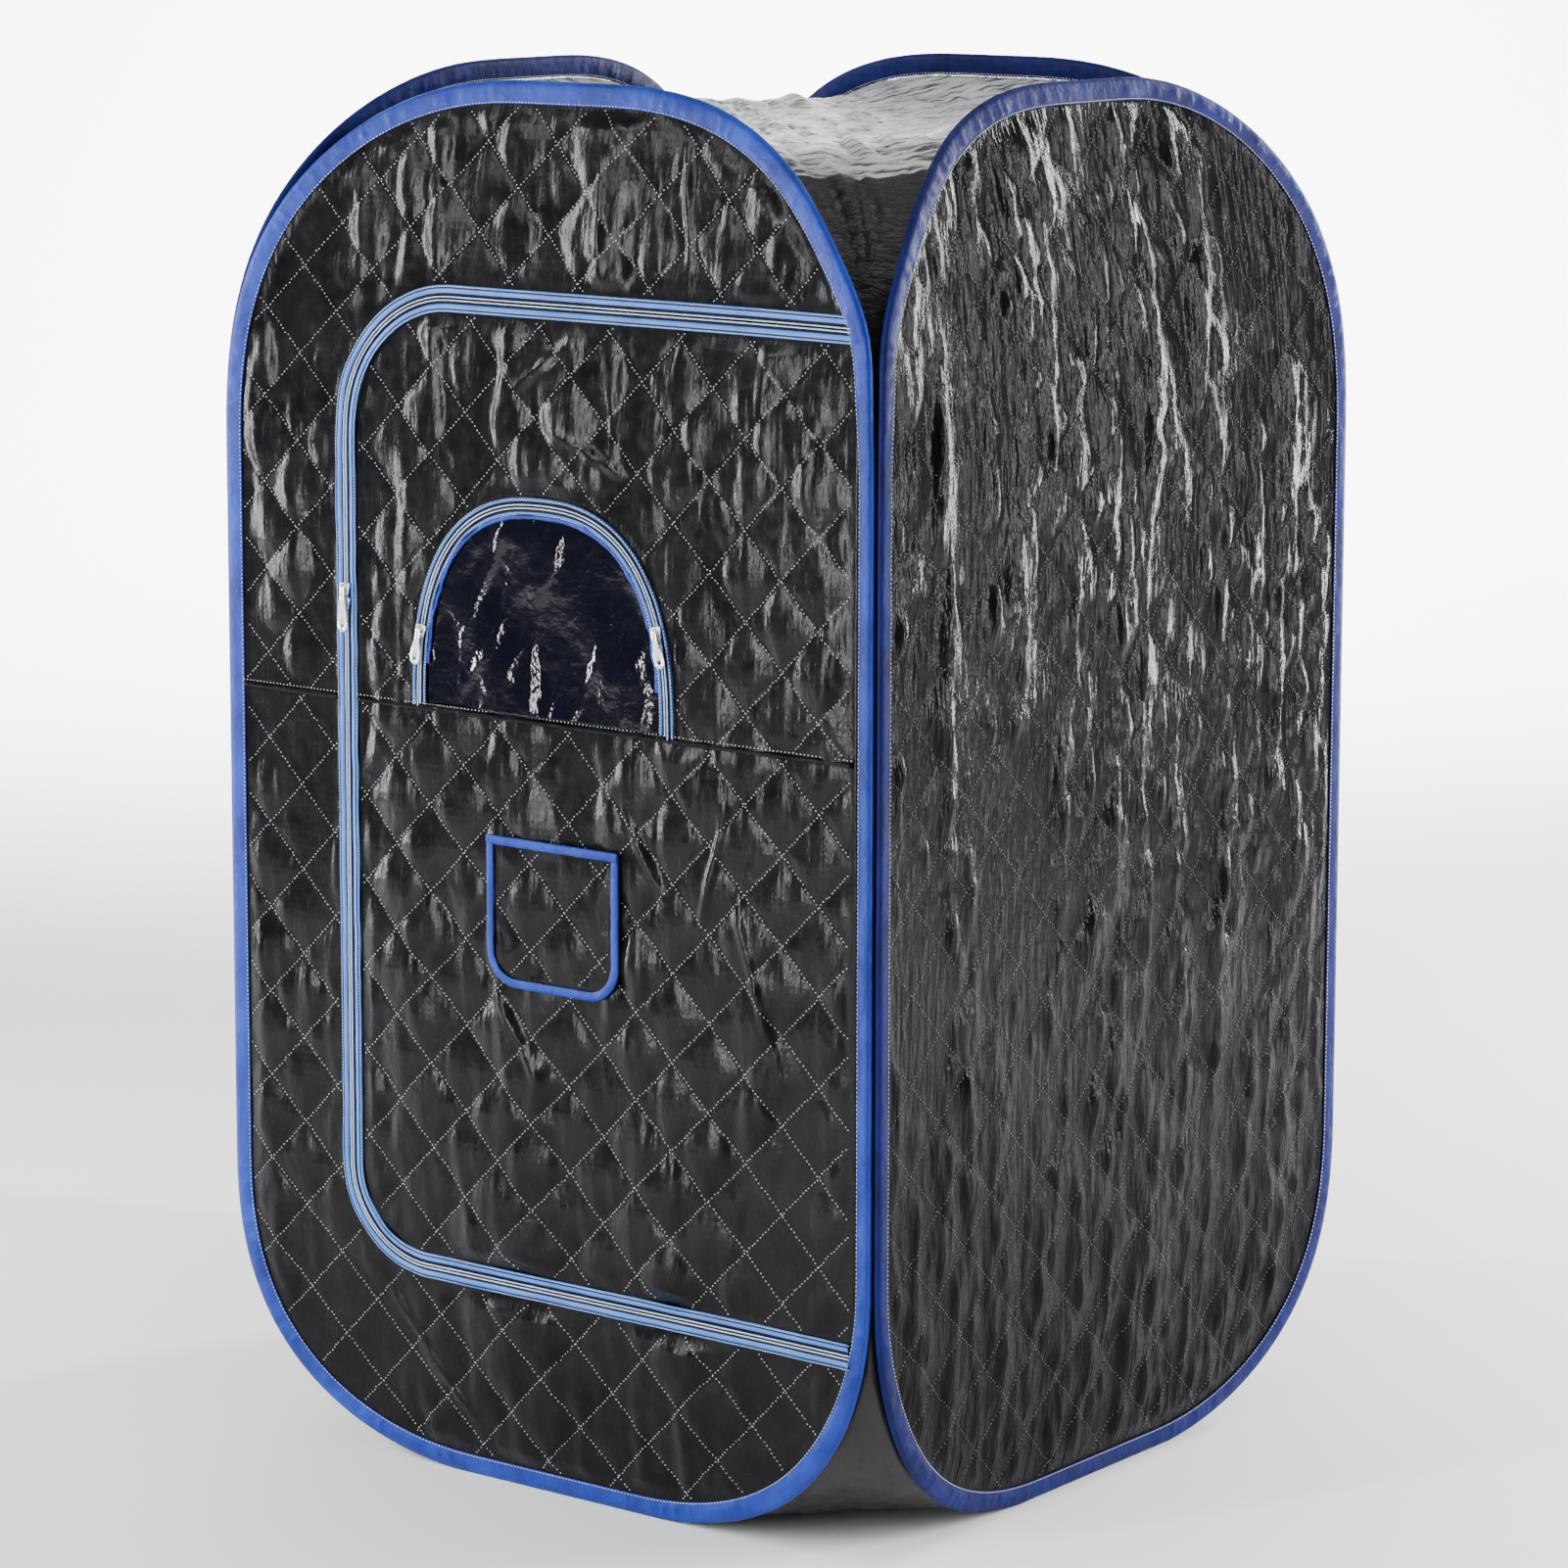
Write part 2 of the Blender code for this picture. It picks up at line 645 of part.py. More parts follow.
def build_window(flap, material, metal):
    """The clear pane, and the two sliders of its zip."""
    pane = prism(window_area(-WINDOW_SETBACK, PANE_FOOT), *PANE_LAYER, leaned=True)
    add_object("window_pane", pane, material, flap)
    for side, (label, z) in zip((-1, 1), WINDOW_SLIDER_Z.items()):
        centre, tilt = window_zip_point(side, z)
        carrier = pivot(f"window_slider_{label}_axis", centre, flap)
        build_slider(f"window_slider_{label}", centre, metal, carrier, tilt)
        hang = turn_about(centre, tilt) @ (centre + Vector((0, PULL_AXIS_V, BAR_Z)))
        axis = pivot(f"window_pull_{label}_axis", hang, carrier)
        build_pull(f"window_pull_{label}", hang, WINDOW_PULL_LENGTH, metal, axis, tilt)


def build_pocket(door, materials):
    patch = prism(pocket_area(0, POCKET_Z[1]), *POCKET_LAYER)
    item = add_object("pocket_patch", patch, materials["quilt"], door)
    inner_area = pocket_area(POCKET_SKIN, POCKET_Z[1] + OVERCUT)
    hollow = prism(inner_area, POCKET_LAYER[0] + POCKET_SKIN, POCKET_LAYER[1] + OVERCUT)
    combine(item, hollow, "DIFFERENCE")
    front = POCKET_LAYER[0] - BAND_GAP
    whole = pocket_area(-BAND_OVERHANG, POCKET_Z[1] + BAND_OVERHANG)
    band = prism(whole, front - BAND_THICKNESS, front)
    item = add_object("pocket_binding", band, materials["binding_bright"], door)
    inner_area = pocket_area(POCKET_BAND, POCKET_Z[1] - POCKET_BAND)
    opening = prism(inner_area, front - OVERCUT, front + OVERCUT)
    combine(item, opening, "DIFFERENCE")


def build_inlet(layers, rear, material):
    """The steam inlet on the rear wall, and the hole for it in the wall's layers."""
    centre = Vector((INLET_U, -HALF, INLET_Z))
    for layer in layers:
        combine(layer, prism(circle_area(INLET_HOLE), *CUT_RANGE), "DIFFERENCE", quarter_turns=2)
    flange_out, flange_in = FLANGE_LAYER
    spigot = [
        (INLET_BORE, flange_out - SPIGOT_LENGTH),
        (SPIGOT_RADIUS, flange_out - SPIGOT_LENGTH),
        (SPIGOT_RADIUS, flange_out),
        (FLANGE_RADIUS, flange_out),
        (FLANGE_RADIUS, flange_in),
        (SPIGOT_RADIUS, flange_in),
        (SPIGOT_RADIUS, NUT_LAYER[1] + SPIGOT_INNER_REACH),
        (INLET_BORE, NUT_LAYER[1] + SPIGOT_INNER_REACH),
    ]
    smooth(add_object("steam_inlet_flange", tube(spigot, centre), material, rear, 2))
    bore = SPIGOT_RADIUS + NUT_CLEARANCE
    low, high = NUT_LAYER
    nut = [(bore, low), (NUT_RADIUS, low), (NUT_RADIUS, high), (bore, high)]
    smooth(add_object("steam_inlet_nut", tube(nut, centre), material, rear, 2))


def circle_area(radius):
    angles = [2 * math.pi * step / ROUND_STEPS for step in range(ROUND_STEPS)]
    return [(INLET_U + radius * math.cos(a), INLET_Z + radius * math.sin(a)) for a in angles]


def sheet_height(from_corner, width, height):
    """Drop of a roof or floor sheet below its flat middle, by distance along the walls from a corner."""
    share = min(1.0, max(0.0, (width - from_corner) / width))
    return height * (1 - (1 - share**CORNER_EXPONENT) ** (1 / CORNER_EXPONENT))


def build_sheet(name, is_roof, material, parent):
    """The roof or the floor: flat in the middle, and bent over each corner towards the seam."""
    wide, tall = TOP_CORNER if is_roof else BOTTOM_CORNER
    shares = [-1 + 2 * step / SHEET_COLUMNS for step in range(SHEET_COLUMNS + 1)]
    reach = HALF - SHEET_INSET
    bm = bmesh.new()
    sides = []
    for layer in (0, SHEET_THICKNESS):
        rows = []
        for q in shares:
            row = []
            for p in shares:
                from_corner = reach * (1 - abs(p)) + reach * (1 - abs(q))
                bend = min(sheet_height(from_corner, wide, tall), tall - SHEET_DROP)
                z = HEIGHT - SHEET_DROP - layer - bend if is_roof else layer + bend
                x = p * (reach - lean(q * reach, z))
                y = q * (reach - lean(p * reach, z))
                row.append(bm.verts.new((x, y, z)))
            rows.append(row)
        bridge_loops(bm, rows, False, False)
        right, left = [row[-1] for row in rows], [row[0] for row in rows]
        sides.append(rows[0][:-1] + right[:-1] + rows[-1][:0:-1] + left[:0:-1])
    bridge_loops(bm, sides, True, False)
    smooth(add_object(name, finished(bm), material, parent), 40)


def sheet_axis(front, rear):
    """Where a roof or floor sheet turns by half the fold, to end up midway between the walls."""

    def turn(angle):
        return numpy.array([[math.cos(angle), -math.sin(angle)], [math.sin(angle), math.cos(angle)]])

    side = numpy.array(rear[:2]) - numpy.array(front[:2])
    middle = (turn(-FOLD_LIMIT) @ side - side) / 2
    x, y = numpy.linalg.solve(numpy.eye(2) - turn(-FOLD_LIMIT / 2), middle)
    return (float(x), float(y), 0.0)


def build_sauna():
    clear_scene()
    materials = {name: make_material(name) for name in COLOURS}
    inside, outside = HALF - AXIS_OFFSET, HALF + AXIS_OFFSET
    base = pivot("base", (0, 0, 0))
    left = pivot("left_seam_axis", (-inside, -inside, 0), base)
    front_seam, right_seam = (outside, -outside, 0), (inside, inside, 0)
    right = pivot("front_seam_axis", front_seam, base)
    rear = pivot("right_seam_axis", right_seam, right)
    door = pivot("door_axis", (DOOR_AXIS_U, -HALF + HINGE_V, 0), base)
    flap = pivot("window_axis", (WINDOW_CENTRE, -HALF + HINGE_V, WINDOW_BASE), door)
    parents = dict(zip(WALLS, (base, right, rear, left)))
    for turns, name in enumerate(WALLS):
        build_wall_edge(name, turns, parents[name], materials)
    build_door_wall(base, door, materials)
    build_plain_wall("right_wall", 1, right, materials)
    rear_layers = build_plain_wall("rear_wall", 2, rear, materials)
    build_plain_wall("left_wall", 3, left, materials)
    build_zips(base, door, flap, materials)
    build_door_sliders(door, materials["zip_metal"])
    build_window(flap, materials["window_film"], materials["zip_metal"])
    build_pocket(door, materials)
    build_inlet(rear_layers, rear, materials["inlet_plastic"])
    middle = sheet_axis(front_seam, right_seam)
    build_sheet("roof_sheet", True, materials["roof_sheet"], pivot("roof_axis", middle, base))
    build_sheet("floor_sheet", False, materials["floor_sheet"], pivot("floor_axis", middle, base))


build_sauna()
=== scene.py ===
"""The looks of the portable steam sauna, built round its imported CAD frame.

Metres, +Z up. Each wall is drawn in its own frame, as in the CAD: u runs along the wall, v goes
inward through its thickness and z goes up. The door wall faces -Y and the others are quarter
turns of it.
"""

import math

import bpy
import numpy as np
from mathutils import Matrix, Vector


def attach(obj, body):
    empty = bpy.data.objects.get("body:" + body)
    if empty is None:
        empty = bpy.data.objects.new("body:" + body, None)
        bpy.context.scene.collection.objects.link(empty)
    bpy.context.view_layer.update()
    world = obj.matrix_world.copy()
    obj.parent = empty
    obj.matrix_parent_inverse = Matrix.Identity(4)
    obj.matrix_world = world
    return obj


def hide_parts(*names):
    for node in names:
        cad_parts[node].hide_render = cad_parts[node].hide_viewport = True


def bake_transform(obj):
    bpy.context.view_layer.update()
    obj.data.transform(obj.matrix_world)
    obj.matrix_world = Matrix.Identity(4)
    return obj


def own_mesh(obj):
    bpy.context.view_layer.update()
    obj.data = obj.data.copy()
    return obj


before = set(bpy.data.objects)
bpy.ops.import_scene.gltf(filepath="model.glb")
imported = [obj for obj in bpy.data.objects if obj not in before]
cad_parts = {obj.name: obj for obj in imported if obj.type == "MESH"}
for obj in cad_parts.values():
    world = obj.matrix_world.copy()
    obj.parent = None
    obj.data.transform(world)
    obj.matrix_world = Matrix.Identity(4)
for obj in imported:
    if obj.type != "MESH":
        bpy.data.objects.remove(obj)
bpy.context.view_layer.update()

# ---- Driving dimensions, the same as the CAD's

WIDTH, HEIGHT = 0.90, 1.54
HALF = WIDTH / 2
PANEL_HALF = HALF - 0.0052
TOP_CORNER, BOTTOM_CORNER, CORNER_EXPONENT = (0.390, 0.400), (0.340, 0.320), 2.3
TOP_LEAN, BOTTOM_LEAN, LEAN_POWER, LEAN_FADE = 0.060, 0.028, 1.4, 4
BINDING_DEPTH = 0.022
SHOULDER_PULL, SHOULDER_Z, SHOULDER_REACH = 0.013, 1.310, 0.065
SEAM_NARROWING = 0.35
SEAM_STRAIGHT_FOOT, SEAM_STRAIGHT_TOP = (0.10, 0.30), (1.15, 1.36)
FRONT_SEAM_SIDE = {"door_wall": 1, "right_wall": -1, "rear_wall": 0, "left_wall": 0}
DOOR_TAPE_ENDS = (0.4185, 0.4215)
DOOR_LEFT, DOOR_TOP, DOOR_BOTTOM = -0.268, 1.309, 0.236
DOOR_TOP_RADIUS, DOOR_BOTTOM_RADIUS = 0.135, 0.105
DOOR_AXIS_U, HINGE_END_U = 0.3983, 0.380
WINDOW_CENTRE, WINDOW_BASE = 0.0085, 0.868
WINDOW_HALF_WIDTH, WINDOW_RISE, WINDOW_EXPONENT = 0.172, 0.228, 2.5
POCKET_CENTRE, POCKET_HALF_WIDTH, POCKET_Z, POCKET_RADIUS = 0.027, 0.091, (0.571, 0.735), 0.040
DOOR_SLIDER_Z = {"upper": 0.984, "lower": 0.9675}
WINDOW_SLIDER_Z = {"left": 0.948, "right": 0.976}
PULL_AXIS_V, INNER_PULL_V, BAR_Z = -0.0122, 0.0058, 0.0010
DOOR_PULL_LENGTH, WINDOW_PULL_LENGTH = 0.048, 0.038
INLET_U, INLET_Z, INLET_BORE, SPIGOT_RADIUS = 0.20, 0.36, 0.017, 0.020
INLET_HOLE, INLET_FLAT = 0.0215, 0.034
SEAM_OFFSET = 0.0045
# How far from each roof corner its painted shade reaches.
CORNER_SHADE_REACH = 0.17
ROOF_SAG = 0.045
CAMERA_BEARING = 0.652

# ---- Cloth, as sewn

QUILT_HALF_DIAGONAL = 0.048
QUILT_CELLS = 16
QUILT_PHASE = (0.044, 0.662)
QUILT_BASE_V = -0.0030
LINING_BASE_V = 0.0022
SEAM_Z = 0.863
STITCH_PITCH, STITCH_LIFT = 0.0050, 0.0003
CREASE_HEIGHT, CREASE_WIDTH = 0.0042, 0.0045
RIPPLE_REPEAT = 8.0
TAPE_EDGE = 0.0145
WINDOW_TAPE_EDGE = 0.0100

# Long creases drawn across the quilting of the door and its wall, each from one (u, z) to another.
CREASES = (
    ((0.125, 0.780), (0.175, 0.692)), ((0.260, 0.799), (0.226, 0.671)), ((0.271, 0.703), (0.333, 0.516)),
    ((-0.056, 0.565), (0.006, 0.471)), ((-0.225, 0.205), (-0.111, 0.070)),
    ((0.040, 1.272), (-0.033, 1.217)),
    ((0.029, 1.177), (0.136, 1.132)), ((0.170, 1.486), (0.192, 1.359)), ((0.063, 1.462), (0.074, 1.351)),
)

# Each wall's quarter turns from the door wall, and the heights of its broad, narrow and fine folds.
WALLS = {"door_wall": 0, "right_wall": 1, "rear_wall": 2, "left_wall": 3}
RIPPLES = {
    "door_wall": (0.0024, 0.0011, 0.0004),
    "right_wall": (0.0016, 0.0015, 0.0012),
    "rear_wall": (0.0022, 0.0015, 0.0006),
    "left_wall": (0.0022, 0.0013, 0.0005),
}
FRONT_PUFF, SIDE_PUFF, LINING_PUFF, POCKET_PUFF = 0.62, 0.45, 0.45, 0.55
WALL_SEED, LINING_SEED, POCKET_SEED = 3, 23, 71


# ---- Wall frame


def turn_round(x, y, turns):
    """Turns places about the cabin's middle, by quarter turns."""
    c, s = ((1, 0), (0, 1), (-1, 0), (0, -1))[turns]
    return c * x - s * y, s * x + c * y


def lean(u, z):
    """How far a wall leans into the cabin at (u, z)."""
    above = np.clip((z - (HEIGHT - TOP_CORNER[1])) / TOP_CORNER[1], 0, 1)
    below = np.clip((BOTTOM_CORNER[1] - z) / BOTTOM_CORNER[1], 0, 1)
    fade = 1 - np.minimum(1, np.abs(u) / HALF) ** LEAN_FADE
    return (TOP_LEAN * above**LEAN_POWER + BOTTOM_LEAN * below**LEAN_POWER) * fade


def wall_points(u, v, z, turns=0):
    """World positions of points given in a wall's own frame."""
    u, v, z = np.broadcast_arrays(*(np.asarray(a, float) for a in (u, v, z)))
    return np.stack([*turn_round(u, v - HALF + lean(u, z), turns), z], axis=-1)


def on_wall(points, v, turns=0):
    """World positions of (u, z) points at v through a wall."""
    return wall_points(points[:, 0], v, points[:, 1], turns)


def corner(width, height, exponent=CORNER_EXPONENT, steps=36):
    """Quarter superellipse from (width, 0) to (0, height)."""
    t = np.linspace(0, math.pi / 2, steps)
    cos, sin = np.clip(np.cos(t), 0, 1), np.sin(t)
    return np.stack([width * cos ** (2 / exponent), height * sin ** (2 / exponent)], axis=1)


def beside_seam(line, seam):
    """1 where a wall's outline runs straight beside the front corner, and 0 elsewhere."""
    z = line[:, 1]
    straight = step_up(z, *SEAM_STRAIGHT_FOOT) * (1 - step_up(z, *SEAM_STRAIGHT_TOP))
    return straight * (line[:, 0] * seam > 0)


def outline(inset, seam=0):
    """A wall's closed outline as (u, z), moved in by inset. At the front corner, which is on the
    side given by seam, the cloth pulls the shoulder of the hoop out towards the seam, and the tape
    rolls round the hoop, so less of it shows."""
    wide, tall = BOTTOM_CORNER
    low = corner(wide - inset, tall - inset) * (1, -1) + (PANEL_HALF - wide, tall)
    wide, tall = TOP_CORNER
    high = corner(wide - inset, tall - inset) + (PANEL_HALF - wide, HEIGHT - tall)
    right = np.concatenate([low[::-1], high])
    ring = np.concatenate([right, right[::-1] * (-1, 1)])
    pull = SHOULDER_PULL * np.exp(-(((ring[:, 1] - SHOULDER_Z) / SHOULDER_REACH) ** 2))
    pull = pull * (ring[:, 0] * seam > 0) + SEAM_NARROWING * inset * beside_seam(ring, seam)
    ring[:, 0] += seam * pull
    return np.concatenate([ring, ring[:1]])


def arc(centre, radius, start, end, steps=16):
    """Points round a centre, between two angles in degrees."""
    angles = np.radians(np.linspace(start, end, steps))
    return np.array(centre) + radius * np.stack([np.cos(angles), np.sin(angles)], axis=1)


def door_line(offset=0.0, ends=(DOOR_AXIS_U, DOOR_AXIS_U)):
    """The door's zip line moved outward by offset, from the top right round to the bottom right."""
    left = DOOR_LEFT
    top = arc((left + DOOR_TOP_RADIUS, DOOR_TOP - DOOR_TOP_RADIUS), DOOR_TOP_RADIUS + offset, 90, 180)
    low_centre = (left + DOOR_BOTTOM_RADIUS, DOOR_BOTTOM + DOOR_BOTTOM_RADIUS)
    low = arc(low_centre, DOOR_BOTTOM_RADIUS + offset, 180, 270)
    start, end = (ends[0], DOOR_TOP + offset), (ends[1], DOOR_BOTTOM - offset)
    return np.concatenate([[start], top, low, [end]])


def window_line(offset=0.0, foot=WINDOW_BASE):
    """The window's zip line moved outward by offset, from its right foot round to its left foot."""
    quarter = corner(WINDOW_HALF_WIDTH + offset, WINDOW_RISE + offset, WINDOW_EXPONENT)
    right = quarter + (WINDOW_CENTRE, WINDOW_BASE)
    left = quarter[::-1] * (-1, 1) + (WINDOW_CENTRE, WINDOW_BASE)
    line = np.concatenate([right, left[1:]])
    if foot < WINDOW_BASE:
        line = np.concatenate([[(line[0, 0], foot)], line, [(line[-1, 0], foot)]])
    return line


def pocket_line(inset=0.0, top=POCKET_Z[1]):
    """The pocket's outline, open at the top, from its top right down and round to its top left."""
    radius, reach = POCKET_RADIUS - inset, POCKET_HALF_WIDTH - POCKET_RADIUS
    centre_z = POCKET_Z[0] + POCKET_RADIUS
    right = arc((POCKET_CENTRE + reach, centre_z), radius, 0, -90)
    left = arc((POCKET_CENTRE - reach, centre_z), radius, -90, -180)
    return np.concatenate([[(right[0, 0], top)], right, left, [(left[-1, 0], top)]])


def spaced(line, step, closed=False):
    """Points a step apart along a line, and how far along each one is."""
    along = np.concatenate([[0], np.cumsum(np.hypot(*np.diff(line, axis=0).T))])
    count = max(2, int(round(along[-1] / step)) + 1)
    at = np.linspace(0, along[-1], count)
    if closed:
        at = at[:-1]
    return np.stack([np.interp(at, along, line[:, k]) for k in range(line.shape[1])], axis=1), at


def directions(path, closed=False):
    """Unit vectors along a line and to its left, at each of its points."""
    if closed:
        ahead = np.roll(path, -1, axis=0) - np.roll(path, 1, axis=0)
    else:
        ahead = np.gradient(path, axis=0)
    ahead /= np.linalg.norm(ahead, axis=1, keepdims=True)
    return ahead, np.stack([-ahead[:, 1], ahead[:, 0]], axis=1)


def nearest(points, line):
    """For each point: its distance from a line, and how far along the line and where that is."""
    best = np.full(len(points), np.inf)
    along, spot, total = np.zeros(len(points)), np.zeros_like(points), 0.0
    for a, b in zip(line[:-1], line[1:]):
        step = b - a
        length = math.hypot(*step)
        if length < 1e-9:
            continue
        share = np.clip(((points - a) @ step) / length**2, 0, 1)
        at = a + share[:, None] * step
        gap = np.hypot(*(points - at).T)
        closer = gap < best
        best[closer], along[closer] = gap[closer], total + share[closer] * length
        spot[closer] = at[closer]
        total += length
    return best, along, spot


def inside(points, polygon):
    """Which points lie in a closed polygon."""
    within = np.zeros(len(points), bool)
    for (u1, z1), (u2, z2) in zip(polygon, np.roll(polygon, -1, axis=0)):
        if z1 == z2:
            continue
        crosses = (points[:, 1] > min(z1, z2)) & (points[:, 1] <= max(z1, z2))
        at = u1 + (points[:, 1] - z1) * (u2 - u1) / (z2 - z1)
        within ^= crosses & (points[:, 0] < at)
    return within


def step_up(value, low, high):
    """Smooth step from 0 at low to 1 at high."""
    share = np.clip((value - low) / (high - low), 0, 1)
    return share * share * (3 - 2 * share)


# ---- Noise


def ripple_field(seed, across, along, tilt=0.0):
    """A smooth random height over (u, z), with a spread of 1, whose bumps have the given sizes."""
    pitch, size = 0.004, 512
    waves = np.fft.fftfreq(size, pitch)
    wave_u, wave_z = np.meshgrid(waves, waves, indexing="ij")
    turned_u = wave_u * math.cos(tilt) + wave_z * math.sin(tilt)
    turned_z = -wave_u * math.sin(tilt) + wave_z * math.cos(tilt)
    keep = np.exp(-2 * math.pi**2 * ((turned_u * across) ** 2 + (turned_z * along) ** 2))
    noise = np.random.default_rng(seed).normal(size=(size, size))
    grid = np.fft.ifft2(np.fft.fft2(noise) * keep).real
    grid = (grid - grid.mean()) / grid.std()

    def height(u, z):
        a, b = np.asarray(u) / pitch, np.asarray(z) / pitch
        i, j = np.floor(a).astype(int), np.floor(b).astype(int)
        p, q = a - i, b - j
        i, j, k, m = i % size, j % size, (i + 1) % size, (j + 1) % size
        low = grid[i, j] * (1 - p) + grid[k, j] * p
        high = grid[i, m] * (1 - p) + grid[k, m] * p
        return low * (1 - q) + high * q

    return height


def ripple_line(seed, size, length=RIPPLE_REPEAT):
    """A smooth random height along a line, with a spread of 1 and bumps of the given size."""
    pitch = size / 4
    count = int(length / pitch)
    noise = np.random.default_rng(seed).normal(size=count)
    keep = np.exp(-2 * (math.pi * np.fft.fftfreq(count, pitch) * size) ** 2)
    values = np.fft.ifft(np.fft.fft(noise) * keep).real
    values /= values.std()
    return lambda s: np.interp(np.asarray(s) % length, np.arange(count) * pitch, values)


# ---- Mesh builders


def add_map(mesh, name, uv):
    """Adds a UV map with one (U, V) for each vertex."""
    loops = np.empty(len(mesh.loops), np.int32)
    mesh.loops.foreach_get("vertex_index", loops)
    layer = mesh.uv_layers.new(name=name)
    layer.uv.foreach_set("vector", np.asarray(uv, np.float32).reshape(-1, 2)[loops].ravel())


def cloth_area(points, faces):
    """Area of a sheet of four-sided faces."""
    a, b, c, d = (np.asarray(points).reshape(-1, 3)[faces[:, k]] for k in range(4))
    return float(np.linalg.norm(np.cross(c - a, d - b), axis=1).sum() / 2)


def grid_faces(count):
    """Faces of a square grid of points, count to a side."""
    i, j = np.meshgrid(np.arange(count - 1), np.arange(count - 1), indexing="ij")
    first = i * count + j
    return np.stack([first, first + count, first + count + 1, first + 1], axis=-1).reshape(-1, 4)


def trimmed(keep):
    """The faces of the grid cells whose four corners are kept, which grid points those faces use, and
    which of the used points lie on the rim."""
    whole = keep[:-1, :-1] & keep[1:, :-1] & keep[1:, 1:] & keep[:-1, 1:]
    around = np.zeros(keep.shape, int)
    for di in (0, 1):
        for dj in (0, 1):
            around[di : keep.shape[0] - 1 + di, dj : keep.shape[1] - 1 + dj] += whole
    used = around > 0
    number = -np.ones(keep.shape, int)
    number[used] = np.arange(used.sum())
    a, b = np.nonzero(whole)
    faces = np.stack([number[a, b], number[a + 1, b], number[a + 1, b + 1], number[a, b + 1]], axis=1)
    return faces, used, around[used] < 4


def make_object(name, points, faces, materials, uv=None, face_slots=None):
    """A smooth-shaded mesh. materials is one material or a list of them, which face_slots picks from."""
    mesh = bpy.data.meshes.new(name)
    faces = faces.tolist() if isinstance(faces, np.ndarray) else faces
    mesh.from_pydata(np.asarray(points).reshape(-1, 3).tolist(), [], faces)
    for material in materials if isinstance(materials, (list, tuple)) else [materials]:
        mesh.materials.append(material)
    if face_slots is not None:
        mesh.polygons.foreach_set("material_index", np.asarray(face_slots, np.int32))
    if uv is not None:
        add_map(mesh, "cloth", uv)
    mesh.shade_smooth()
    mesh.validate()
    item = bpy.data.objects.new(name, mesh)
    bpy.context.scene.collection.objects.link(item)
    return item


def loft(name, rings, materials, closed_path=False, slots=None):
    """A closed surface through rings of points: rings[i][j] is section point j at path point i. slots
    gives the material slot of each face round the section."""
    rings = np.asarray(rings)
    count, size = rings.shape[:2]
    i, j = np.meshgrid(np.arange(count if closed_path else count - 1), np.arange(size), indexing="ij")
    k, m = (i + 1) % count, (j + 1) % size
    faces = np.stack([i * size + j, i * size + m, k * size + m, k * size + j], axis=-1).reshape(-1, 4)
    face_slots = None if slots is None else np.asarray(slots)[j.ravel()]
    faces = faces.tolist()
    if not closed_path:
        faces.append(list(range(size))[::-1])
        faces.append([(count - 1) * size + n for n in range(size)])
        face_slots = None if slots is None else np.concatenate([face_slots, [0, 0]])
    across = np.linalg.norm(np.diff(rings[0], axis=0), axis=1)
    along = np.linalg.norm(np.diff(rings[:, 0], axis=0), axis=1)
    across, along = (np.concatenate([[0], np.cumsum(steps)]) for steps in (across, along))
    uv = np.stack(np.meshgrid(across, along), axis=-1)
    return face_out(make_object(name, rings, faces, materials, uv, face_slots))


def face_out(item):
    """Turns a closed mesh's faces outward."""
    mesh = item.data
    mesh.calc_loop_triangles()
    count = len(mesh.vertices)
    points = np.empty(count * 3)
    mesh.vertices.foreach_get("co", points)
    points = points.reshape(-1, 3)
    triangles = np.empty(len(mesh.loop_triangles) * 3, np.int32)
    mesh.loop_triangles.foreach_get("vertices", triangles)
    a, b, c = (points[triangles.reshape(-1, 3)[:, k]] for k in range(3))
    if (a * np.cross(b, c)).sum() < 0:
        mesh.flip_normals()
    return item


def joined(name, items):
    """One object out of several."""
    first = items[0]
    with bpy.context.temp_override(
        active_object=first, object=first, selected_objects=items, selected_editable_objects=items
    ):
        bpy.ops.object.join()
    first.name = first.data.name = name
    return first


def beads(name, centres, along, out, size, material):
    """Many small stitches or beads: long octahedra at centres, with the given directions."""
    along = along / np.linalg.norm(along, axis=1, keepdims=True)
    across = np.cross(along, out)
    across /= np.linalg.norm(across, axis=1, keepdims=True)
    up = np.cross(across, along)
    length, width, height = (s / 2 for s in size)
    a, b, c = along * length, across * width, up * height
    corners = np.stack([centres + way for way in (a, b, -a, -b, c, -c)], axis=1)
    pattern = [(k, (k + 1) % 4, 4) for k in range(4)] + [((k + 1) % 4, k, 5) for k in range(4)]
    faces = (np.arange(len(centres))[:, None, None] * 6 + np.array(pattern)).reshape(-1, 3)
    return face_out(make_object(name, corners, faces, material))


def thicken(item, thickness, offset=-1.0):
    """Gives a sheet its thickness, behind its faces (offset -1) or in front of them (1)."""
    solid = item.modifiers.new("thickness", "SOLIDIFY")
    solid.thickness = thickness
    solid.offset = offset
    return item


# ---- Materials


